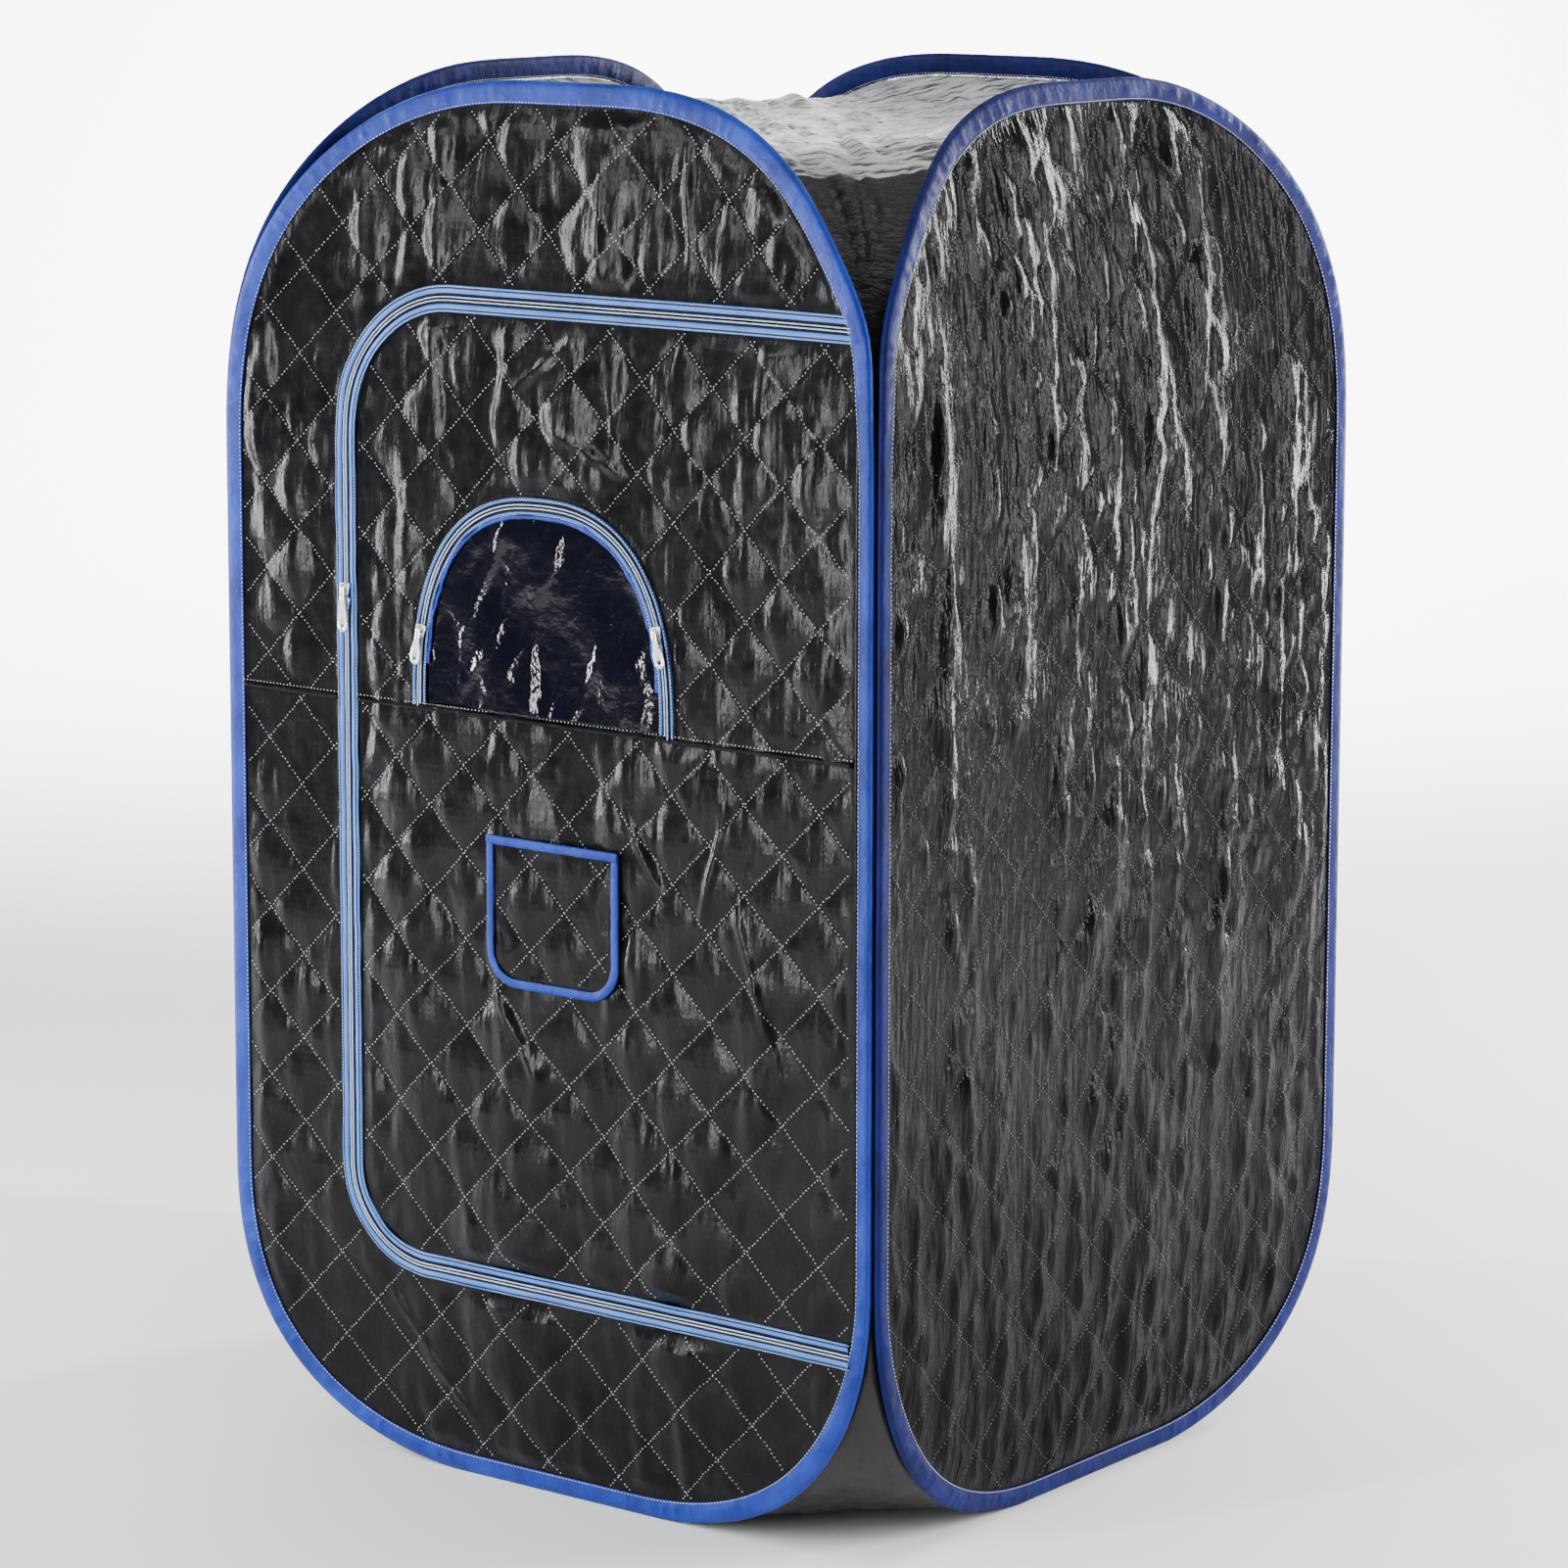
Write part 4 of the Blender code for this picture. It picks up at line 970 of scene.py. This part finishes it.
def build_zip_half(name, line, side, edge, materials, seed, outer="tape"):
    """Half a zip: woven tape with painted shade in its grooves beside the coil, a coil of nylon teeth,
    and its row of stitches. side is 1 when the tape lies to the line's left, edge is its width, and
    outer is the material of its outer strip."""
    middle = 0.0046 + 0.62 * (edge - 0.0046)
    section = [
        (0.0026, -0.0044), (0.0058, -0.0044), (0.0063, -0.0055), (middle - 0.0002, -0.0058),
        (middle + 0.0006, -0.0050), (middle + 0.0016, -0.0057), (edge - 0.0006, -0.0052), (edge, -0.0044),
        (edge - 0.0006, -0.0040), (0.0026, -0.0038),
    ]
    section = [(side * o, v) for o, v in section]
    # Slot 0 is painted shade: the strip beside the coil, the dip across the tape, and its back.
    palette = [materials["painted_groove_shade"], materials["tape"], materials[outer]]
    slots = [0, 1, 1, 0, 0, 2, 2, 2, 0, 0]
    tape = strip_along(name + "_tape", line, section, palette, 0.003, (seed, 0.010, 0.0005), slots)
    centre, radius, teeth = side * 0.0018, 0.0010, 0.0021
    path, along = spaced(line, teeth / 4)
    _, left = directions(path)
    swell = 1 + 0.22 * np.sin(2 * math.pi * along / teeth + (0 if side > 0 else math.pi))
    rings = []
    for angle in np.radians(np.arange(0, 360, 60)):
        place = path + left * (centre + radius * 0.85 * swell * math.cos(angle))[:, None]
        rings.append(on_wall(place, -0.0052 - radius * 1.1 * swell * math.sin(angle)))
    coil = loft(name + "_coil", np.stack(rings, axis=1), materials["coil"])
    spots, _ = spaced(line, 0.0036)
    ways, left = directions(spots)
    spots = spots + left * side * (edge - 0.0015)
    size = (0.0032, 0.0011, 0.0009)
    stitches = stitch_beads(name + "_stitches", spots, ways, -0.0056, 0, materials["thread"], size)
    return tape, coil, stitches


# ---- Sliders and pulls


def turned(points, centre, tilt):
    """Turns points in the plane of the door wall, about a point of it."""
    matrix = np.array(Matrix.Rotation(tilt, 3, "Y"))
    return (np.asarray(points) - centre) @ matrix.T + centre


def rounded_ring(half_width, low, high, round_by, steps=4):
    """A closed rounded rectangle in (u, v)."""
    ring = []
    reach = half_width - round_by
    top, foot = high - round_by, low + round_by
    for quarter, place in enumerate(((reach, top), (-reach, top), (-reach, foot), (reach, foot))):
        ring.extend(arc(place, round_by, 90 * quarter, 90 * quarter + 90, steps + 1))
    return ring


def build_slider(name, centre, tilt, material, both_plates, pull_inside):
    """A cast slider body: shouldered plates over the teeth, and the arch that holds the pull."""
    pieces = []
    # Height, half-width and edge rounding.
    profile = [
        (-0.0072, 0.0030, 0.0004), (-0.0069, 0.0044, 0.0008), (-0.0050, 0.0052, 0.0011),
        (-0.0010, 0.0056, 0.0012), (0.0030, 0.0070, 0.0012), (0.0055, 0.0074, 0.0011),
        (0.0069, 0.0068, 0.0008), (0.0072, 0.0056, 0.0004),
    ]
    layers = [(-0.0092, -0.0066)] + ([(-0.0012, 0.0008)] if both_plates else [])
    for number, (low, high) in enumerate(layers):
        rings = []
        for z, half, inset in profile:
            ring = rounded_ring(half, low + 0.0010 - inset * 0.8, high, min(0.0009, (high - low) * 0.4))
            rings.append([centre + (u, v, z) for u, v in ring])
        pieces.append(loft(f"{name}_plate_{number}", turned(rings, centre, tilt), material))
    far, near = (INNER_PULL_V, 0.0004) if pull_inside else (PULL_AXIS_V, -0.0086)
    shift = 0.0025 if pull_inside else 0.0
    rings = []
    for angle in np.radians(np.linspace(0, 180, 13)):
        z = BAR_Z + 0.0042 * math.cos(angle)
        v = near + (far - near) * 1.22 * math.sin(angle) ** 0.8
        out = np.array([0, math.sin(angle) * np.sign(far - near), math.cos(angle)])
        ring = []
        for turn in np.radians(np.arange(0, 360, 45)):
            ring.append(centre + (shift + 0.0011 * math.cos(turn), v, z) + out * 0.0007 * math.sin(turn))
        rings.append(ring)
    pieces.append(loft(name + "_arch", turned(rings, centre, tilt), material))
    return joined(name, pieces)


def build_pull(name, axis, length, tilt, material):
    """A pull tab: a ring at the top, a waist, and a wide rounded end with an eye in it."""
    thick, wide = 0.0009, 0.0070
    eye = np.array([0.0, -length + 0.0068])
    shape = [(-0.0024, 0.0024), (-0.0040, 0.0), (-0.0034, -0.0075), (-0.0052, -0.0150)]
    shape.append((-wide, -length * 0.60))
    shape = shape + [(u, z) for u, z in arc((0, -length + wide), wide, 180, 360, 17)]
    shape = shape + [(-u, z) for u, z in reversed(shape[:5])]
    shape = np.array(shape + shape[:1])
    curve, _ = spaced(shape, 0.0012, closed=True)
    count = len(curve)
    angles = np.unwrap(np.arctan2(*(curve - eye).T[::-1]))
    rings = []
    front = [(0.0, -thick + 0.0004), (0.0005, -thick), (None, -thick)]
    for inset, v in front + [(inset, -v) for inset, v in reversed(front)]:
        if inset is None:
            ring = eye + 0.0022 * np.stack([np.cos(angles), np.sin(angles)], axis=1)
        else:
            way = curve - eye
            ring = curve - inset * way / np.linalg.norm(way, axis=1, keepdims=True)
        rings.append(np.stack([ring[:, 0], np.full(count, v), ring[:, 1]], axis=1) + axis)
    return loft(name, turned(np.stack(rings, axis=1), axis, tilt), material, closed_path=True)


def window_zip_point(side, z):
    """A point of the window's zip line on its left (-1) or right (1), and the line's tilt there."""
    rise = (z - WINDOW_BASE) / WINDOW_RISE
    fall = 1 - rise**WINDOW_EXPONENT
    reach = WINDOW_HALF_WIDTH * fall ** (1 / WINDOW_EXPONENT)
    slope = reach / WINDOW_RISE * rise ** (WINDOW_EXPONENT - 1) / fall
    return np.array([WINDOW_CENTRE + side * reach, -HALF, z]), -side * math.atan(slope)


def build_sliders(materials):
    """The four sliders and their pulls."""
    metal = materials["metal"]

    def place(piece, node, body):
        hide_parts(node)
        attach(piece, body)

    for level, side, hang in (
        ("upper", "outer", (0, PULL_AXIS_V, BAR_Z)),
        ("lower", "inner", (0.0025, INNER_PULL_V, BAR_Z)),
    ):
        centre = np.array([DOOR_LEFT, -HALF, DOOR_SLIDER_Z[level]])
        node = "door_slider_" + level
        runner = build_slider("door_runner_" + level, centre, 0.0, metal, True, side == "inner")
        place(runner, node, node)
        node = "door_pull_" + side
        place(build_pull("door_tab_" + side, centre + hang, DOOR_PULL_LENGTH, 0.0, metal), node, node)
    for side, (label, z) in zip((-1, 1), WINDOW_SLIDER_Z.items()):
        centre, tilt = window_zip_point(side, z)
        node = "window_slider_" + label
        place(build_slider(f"window_runner_{label}", centre, tilt, metal, False, False), node, node)
        axis = turned(centre + (0, PULL_AXIS_V, BAR_Z), centre, tilt)
        node = "window_pull_" + label
        place(build_pull(f"window_tab_{label}", axis, WINDOW_PULL_LENGTH, tilt, metal), node, node)


# ---- Window, pocket, roof, floor, seams, inlet


def flat_grid(area, step):
    """Grid points and faces inside an area of (u, z), with the rim drawn onto the outline."""
    low, high = area.min(0), area.max(0)
    us = np.linspace(low[0], high[0], int((high[0] - low[0]) / step) + 1)
    zs = np.linspace(low[1], high[1], int((high[1] - low[1]) / step) + 1)
    u, z = np.meshgrid(us, zs, indexing="ij")
    points = np.stack([u.ravel(), z.ravel()], axis=1)
    keep = inside(points, area)
    gap, _, spot = nearest(points, np.concatenate([area, area[:1]]))
    keep |= gap < 1e-6
    faces, used, rim = trimmed(keep.reshape(u.shape))
    grid = np.stack([u[used], z[used]], axis=1)
    rim &= gap.reshape(u.shape)[used] < 2 * step
    grid[rim] = spot.reshape(*u.shape, 2)[used][rim]
    return grid, faces


def build_window(materials):
    """The film pane, wrinkled where it is drawn to its zip, and the gathered tape inside the arch."""
    area = window_line(-0.004, WINDOW_BASE)
    grid, faces = flat_grid(area, 0.0028)
    gap, along, _ = nearest(grid, area)
    broad, sharp = ripple_field(31, 0.030, 0.045, 0.5), ripple_field(32, 0.010, 0.034, -0.35)
    value = broad(*grid.T)
    crease = np.abs(sharp(*grid.T))
    height = 0.0026 * value + 0.0018 * (1 - np.minimum(crease, 1.2))
    height += 0.0008 * ripple_line(33, 0.005)(along) * np.exp(-gap / 0.010)
    free = step_up(gap, 0.0, 0.03)
    points = on_wall(grid, -0.0030 - np.clip(height * free, -0.0022, 0.0045))
    pane = make_object("window_film_sheet", points, faces, materials["film"], uv=grid)
    thicken(outward(pane, 0), 0.0006)
    section = [
        (0.0080, -0.0046), (0.0100, -0.0054), (0.0125, -0.0052), (0.0140, -0.0044), (0.0125, -0.0040),
        (0.0080, -0.0038),
    ]
    line, ripple = window_line(0.0)[3:-3], (35, 0.0045, 0.0008)
    return pane, strip_along("window_facing", line, section, materials["bright"], 0.002, ripple)


def build_welt(name, start, end, materials):
    """The folded seam across the wall at the window's foot, between two places along it, with its
    row of stitches."""
    line = np.array([(start, SEAM_Z), (end, SEAM_Z)])
    section = [
        (-0.0030, -0.0040), (-0.0018, -0.0062), (0.0002, -0.0070), (0.0016, -0.0056), (0.0030, -0.0040),
        (0.0, -0.0030),
    ]
    welt = strip_along(name, line, section, materials["satin"], ripple=(91, 0.020, 0.0007))
    spots, _ = spaced(line + (0, 0.0052), STITCH_PITCH)
    ways = np.tile((1.0, 0.0), (len(spots), 1))
    return welt, stitch_beads(name + "_stitches", spots, ways, -0.0052, 0, materials["thread"])


def build_pocket(diamonds, materials):
    """The quilted patch with its open top, and the tape bound round all four of its sides."""
    area = pocket_line(0.001)
    rim = pocket_line(0.009, POCKET_Z[1] - 0.009)
    borders = [np.concatenate([rim, rim[:1]])]
    quilt = Quilt(POCKET_SEED, (0.0008, 0.0006, 0.0003), POCKET_PUFF, area, [], borders)
    edge = pocket_line(0.0)

    def face(points, height):
        """v of the patch's outer face, which bulges towards its middle."""
        belly = 0.0020 * step_up(nearest(points, edge)[0], 0.0, 0.06)
        return -0.0088 - np.clip(height + belly, -0.0008, 0.0060)

    points, height, faces = quilt_surface(quilt, diamonds)
    place = on_wall(points, face(points, height))
    patch = make_object("pocket_cloth", place, faces, materials["satin"], uv=points)
    thicken(outward(patch, 0), 0.0012)
    section = [(0.0, -0.0098), (0.0014, -0.0098), (0.0014, -0.0034), (0.0, -0.0034)]
    wall = strip_along("pocket_side", pocket_line(0.0012), section, materials["satin"])
    places, ways = quilt_stitches(quilt)
    v = face(places, quilt.drape(places)[0]) - STITCH_LIFT
    stitches = stitch_beads("pocket_stitches", places, ways, v, 0, materials["thread"])
    ripple = (73, 0.005, 0.0004)
    section = [
        (-0.0010, -0.0098), (0.0, -0.0112), (0.0040, -0.0116), (0.0088, -0.0112), (0.0094, -0.0104),
        (0.0088, -0.0100), (0.0, -0.0092),
    ]
    tapes = []
    for name, line, side, raised in (("sides", edge, -1, 0), ("top", edge[[0, -1]], 1, 0.0009)):
        shape = [(side * o, v - raised) for o, v in section]
        tapes.append(strip_along("pocket_tape_" + name, line, shape, materials["bright"], 0.002, ripple))
    return patch, wall, stitches, tapes


def sheet_height(from_corner, width, height):
    """How far a sheet has bent towards the seam at a distance from its corner, along the hoops' arcs."""
    share = np.clip((width - from_corner) / width, 0, 1)
    return height * (1 - (1 - share**CORNER_EXPONENT) ** (1 / CORNER_EXPONENT))


def build_sheet(name, is_roof, materials):
    """The roof or the floor sheet, crinkled, and bent over each corner towards the seam."""
    wide, tall = TOP_CORNER if is_roof else BOTTOM_CORNER
    count, reach, drop = 150, HALF - 0.0075, 0.024
    p, q = np.meshgrid(*[np.linspace(-1, 1, count)] * 2, indexing="ij")
    from_corner = reach * (2 - np.abs(p) - np.abs(q))
    bend = np.minimum(sheet_height(from_corner, wide, tall), tall - drop)
    z = HEIGHT - drop - bend if is_roof else 0.0012 + bend
    x = p * (reach - lean(q * reach, z))
    y = q * (reach - lean(p * reach, z))
    edge = reach * (1 - np.maximum(np.abs(p), np.abs(q)))
    free = step_up(edge, 0.0, 0.05)
    fine = ripple_field(81 if is_roof else 82, 0.0060, 0.030, math.radians(52))
    broad = ripple_field(83, 0.035, 0.060, math.radians(50))
    lift = 0.0024 * np.abs(fine(x, y)) + 0.0035 * broad(x, y)
    along = np.arctan2(np.abs(p) - np.abs(q), 2 - np.abs(p) - np.abs(q))
    pleat = ripple_line(85, 0.05)(along * 3 + 2) * step_up(wide * 0.55 - from_corner, 0.0, wide * 0.4)
    if is_roof:
        z = z - ROOF_SAG * (1 - p**4) * (1 - q**4)
    smooth_z = z
    z = z + lift * free * (1 if is_roof else 0.35) + (0.004 * pleat * free if is_roof else 0)
    if not is_roof:
        z = np.maximum(z, 0.0012)
    faces, material = grid_faces(count), materials["roof" if is_roof else "floor"]
    item = make_object(name, np.stack([x, y, z], axis=-1), faces, material, uv=np.stack([x, y], axis=-1))
    add_map(item.data, "corner", np.stack([from_corner, 0 * from_corner], axis=-1))
    area = cloth_area(np.stack([x, y, smooth_z], axis=-1), faces)
    return thicken(item, 0.0008, -1.0 if is_roof else 1.0), area


def build_seam(name, turns, materials):
    """The cloth that joins two walls down their corner, from the second wall round to the first."""
    low, high, count = BOTTOM_CORNER[1] - 0.02, HEIGHT - TOP_CORNER[1] + 0.02, 120
    middle = HALF - SEAM_OFFSET - 0.0130
    centre = (middle, -middle)
    ring = np.concatenate([arc(centre, 0.0125, 0, -90, 9), arc(centre, 0.0115, -90, 0, 9)])
    x, y = turn_round(*ring.T, turns)
    rings = [np.stack([x, y, np.full(len(ring), z)], axis=1) for z in np.linspace(low, high, count)]
    return loft(name, rings, materials["satin"])


def build_inlet(materials):
    """The spigot with its hose barbs and flange, and the ribbed lock nut inside."""

    def revolve(name, profile, ribs=0, depth=0.0):
        """Turns (radius, v, ribbed) points about the inlet's axis."""
        rings = []
        for angle in np.radians(np.arange(0, 360, 3)):
            ring = []
            for radius, v, ribbed in profile:
                at = radius - (depth * (0.5 - 0.5 * math.cos(ribs * angle)) ** 3 if ribbed else 0)
                x, z = at * math.cos(angle), at * math.sin(angle)
                ring.append((-(INLET_U + x), HALF - v, INLET_Z + z))
            rings.append(ring)
        return loft(name, rings, materials["plastic"], closed_path=True)

    low, neck = -0.0430, SPIGOT_RADIUS - 0.0012
    barbs = []
    for k in range(4):
        start = low + 0.0015 + 0.0062 * k
        barbs += [(neck, start, 0), (SPIGOT_RADIUS, start + 0.0048, 0), (neck, start + 0.0053, 0)]
    profile = [(INLET_BORE, low, 0), (INLET_BORE + 0.0012, low, 0)] + barbs + [
        (SPIGOT_RADIUS - 0.0010, -0.0095, 0), (SPIGOT_RADIUS + 0.0008, -0.0074, 0), (0.0352, -0.0070, 0),
        (0.0372, -0.0064, 0), (0.0380, -0.0050, 0), (0.0380, -0.0034, 0), (0.0374, -0.0030, 0),
        (SPIGOT_RADIUS, -0.0030, 0), (SPIGOT_RADIUS, 0.0126, 0), (SPIGOT_RADIUS - 0.0006, 0.0130, 0),
        (INLET_BORE, 0.0130, 0),
    ]
    flange = revolve("steam_spigot", profile)
    bore = SPIGOT_RADIUS + 0.0005
    profile = [
        (bore, 0.0030, 0), (0.0310, 0.0030, 1), (0.0330, 0.0040, 1), (0.0330, 0.0090, 1),
        (0.0318, 0.0099, 1), (0.0290, 0.0100, 0), (bore, 0.0100, 0),
    ]
    nut = revolve("steam_lock_nut", profile, ribs=18, depth=0.0022)
    return flange, nut


# ---- Putting it together


def ride_all(pieces, body):
    """Puts pieces on a body."""
    for piece in pieces:
        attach(piece, body)


def dress_walls(diamonds, materials):
    """The quilting, lining and tape of the four walls."""
    for name, turns in WALLS.items():
        at_front = name == "door_wall"
        area, holes, borders = wall_areas(name)
        if name == "rear_wall":
            holes = [arc((INLET_U, INLET_Z), INLET_HOLE, 0, 360, 49)[:-1]]
            borders.append(arc((INLET_U, INLET_Z), INLET_FLAT, 0, 360, 49))
        puff, satin = (FRONT_PUFF, "satin") if at_front else (SIDE_PUFF, "crinkled")
        quilt = Quilt(WALL_SEED + turns, RIPPLES[name], puff, area, holes, borders)
        cloth, stitches = build_quilt(name, turns, quilt, diamonds, materials, satin)
        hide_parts(name + "_quilt")
        ride_all([cloth, stitches], name)
        seed = LINING_SEED + turns
        foil, cut = build_lining(name, turns, area, holes, borders, seed, diamonds, materials)
        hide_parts(name + "_lining")
        ride_all([foil], name)
        tape, *rows = build_binding(name, turns, materials)
        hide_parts(name + "_binding")
        ride_all([tape, *rows], name)
        for part in ("hoop", "ferrule"):
            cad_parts[f"{name}_{part}"].material_slots[0].material = materials["steel"]
    welt = build_welt("wall_welt", BINDING_DEPTH - PANEL_HALF, DOOR_LEFT - TAPE_EDGE, materials)
    ride_all(welt, "door_wall")


def dress_door(diamonds, materials):
    """The door's quilting and lining, and both halves of its zip."""
    edge = PANEL_HALF - BINDING_DEPTH

    def hang(piece, slot):
        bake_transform(piece)

    area, holes, borders = door_areas()
    quilt = Quilt(WALL_SEED, RIPPLES["door_wall"], FRONT_PUFF, area, holes, borders)
    cloth, stitches = build_quilt("door", 0, quilt, diamonds, materials)
    foil, cut = build_lining("door", 0, area, holes, borders, LINING_SEED, diamonds, materials)
    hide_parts("door_quilt")
    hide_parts("door_lining")
    hang(foil, "lining")
    for piece in (cloth, stitches, *build_welt("door_welt", DOOR_LEFT + TAPE_EDGE, edge, materials)):
        hang(piece, "quilt")

    line = door_line(0.0, DOOR_TAPE_ENDS)
    tape, *rest = build_zip_half("doorway_zip", line, -1, TAPE_EDGE, materials, 41)
    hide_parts("doorway_zip_half")
    ride_all([tape, *rest], "door_wall")
    tape, *rest = build_zip_half("door_zip", line, 1, TAPE_EDGE, materials, 42)
    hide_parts("door_zip_half")
    for piece in (tape, *rest):
        hang(piece, "zip_tape")


def dress_window(materials):
    """The window's film, and both halves of the zip round it."""
    for name, body, line, side, seed, outer in (
        ("window_frame_zip", "door", window_line(0.0, SEAM_Z), -1, 43, "tape"),
        ("window_flap_zip", "window_flap", window_line(0.0), 1, 44, "dark"),
    ):
        tape, *rest = build_zip_half(name, line, side, WINDOW_TAPE_EDGE, materials, seed, outer)
        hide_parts(name + "_half")
        ride_all([tape, *rest], body)
    pane, facing = build_window(materials)
    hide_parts("window_pane")
    ride_all([pane], "window_flap")
    ride_all([facing], "window_flap")


def dress_pocket(diamonds, materials):
    """The patch pocket, on the door."""
    patch, wall, stitches, tapes = build_pocket(diamonds, materials)
    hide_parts("pocket_patch")
    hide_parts("pocket_binding")
    ride_all([patch, wall, stitches], "door")
    ride_all(tapes, "door")


def dress_sheets(materials):
    """The roof and the floor, each on its own body."""
    for name, body, held in (("roof_cloth", "roof", "stretched"), ("floor_cloth", "floor", "laid")):
        sheet, area = build_sheet(name, body == "roof", materials)
        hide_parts(body + "_sheet")
        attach(sheet, body)
        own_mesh(sheet)


def dress_seams(materials):
    """The strips that join the walls. One seam is open in the frame's linkage, so its strip rides on
    one wall; the others stay where they are built."""
    for name, turns, first, second in (
        ("seam_front_right", 0, "door_wall", "right_wall"),
        ("seam_rear_right", 1, "right_wall", "rear_wall"),
        ("seam_rear_left", 2, "rear_wall", None),
        ("seam_front_left", 3, "left_wall", "door_wall"),
    ):
        strip = build_seam(name, turns, materials)
        if second is None:
            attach(strip, first)
            continue
        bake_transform(strip)


def main():
    """Every piece of the cabin."""
    materials = make_materials()
    diamonds = quilt_diamonds()
    dress_walls(diamonds, materials)
    dress_door(diamonds, materials)
    dress_window(materials)
    build_sliders(materials)
    dress_pocket(diamonds, materials)
    dress_sheets(materials)
    dress_seams(materials)
    flange, nut = build_inlet(materials)
    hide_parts("steam_inlet_flange")
    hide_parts("steam_inlet_nut")
    ride_all([flange, nut], "rear_wall")


# ---- Studio


def area_light(name, position, target, size, power, spread=180):
    """A rectangular light that points at target."""
    light = bpy.data.lights.new(name, "AREA")
    light.shape = "RECTANGLE"
    light.size, light.size_y = size
    light.energy = power
    light.spread = math.radians(spread)
    item = bpy.data.objects.new(name, light)
    item.location = position
    item.rotation_euler = (Vector(target) - Vector(position)).to_track_quat("-Z", "Y").to_euler()
    bpy.context.scene.collection.objects.link(item)


def build_studio():
    """A pale floor that curves up behind the cabin, a soft sky, and strip lights for the satin."""
    ground = Nodes("studio_floor")
    pale = ground.mix(ground.noise(ground.space(), 3), (0.90, 0.90, 0.90), (0.93, 0.93, 0.93))
    ground.use("Base Color", pale)
    ground.set(Roughness=0.9, Specular_IOR_Level=0.1)
    rise = np.linspace(0, math.pi / 2, 13)
    run = np.concatenate([[-30.0], 6 + 3 * np.sin(rise), [9.0]])
    lift = np.concatenate([[0.0], 3 - 3 * np.cos(rise), [9.0]])
    across = np.array([-20.0, 20.0])
    cos, sin = math.cos(CAMERA_BEARING), math.sin(CAMERA_BEARING)
    x = across[None, :] * cos - run[:, None] * sin
    y = across[None, :] * sin + run[:, None] * cos
    z = np.repeat(lift[:, None] - 0.001, 2, axis=1)
    faces = [(2 * k, 2 * k + 1, 2 * k + 3, 2 * k + 2) for k in range(len(run) - 1)]
    make_object("studio_floor", np.stack([x, y, z], axis=-1), faces, ground.material)
    world = bpy.data.worlds.new("studio")
    world.use_nodes = True
    world.node_tree.nodes["Background"].inputs["Color"].default_value = (1, 1, 1, 1)
    world.node_tree.nodes["Background"].inputs["Strength"].default_value = 0.30
    bpy.context.scene.world = world
    middle = (0, 0, 0.8)
    area_light("key", (-2.2, -4.2, 3.6), middle, (1.2, 1.2), 70)
    area_light("top", (0.3, 0.3, 3.8), middle, (1.8, 1.8), 40)
    for number, (bearing, power) in enumerate(((-154, 150), (-102, 130), (28, 240), (80, 200))):
        angle = math.radians(bearing)
        place = (3.4 * math.cos(angle), 3.4 * math.sin(angle), 1.35)
        area_light(f"strip_{number}", place, middle, (0.20, 2.3), power)
    area_light("backdrop", (-2.4, 3.2, 5.0), (-4.6, 6.2, 0.5), (6.0, 3.0), 1500, 110)


def build_camera():
    """The photograph's view: from the front, a little to the right, looking down slightly."""
    around, distance, height, pitch, roll = CAMERA_BEARING, 6.093, 1.849, 0.163, 0.002
    out = Vector((math.sin(around), -math.cos(around), 0))
    back = out * math.cos(pitch) + Vector((0, 0, math.sin(pitch)))
    right = Vector((math.cos(around), math.sin(around), 0))
    up = back.cross(right)
    data = bpy.data.cameras.new("camera")
    data.lens, data.sensor_width = 124.84, 36
    data.shift_x, data.shift_y = -0.00567, -0.0641
    item = bpy.data.objects.new("camera", data)
    turn = Matrix((right, up, back)).transposed() @ Matrix.Rotation(roll, 3, "Z")
    item.matrix_world = Matrix.Translation(out * distance + Vector((0, 0, height))) @ turn.to_4x4()
    bpy.context.scene.collection.objects.link(item)
    bpy.context.scene.camera = item


main()
build_studio()
build_camera()
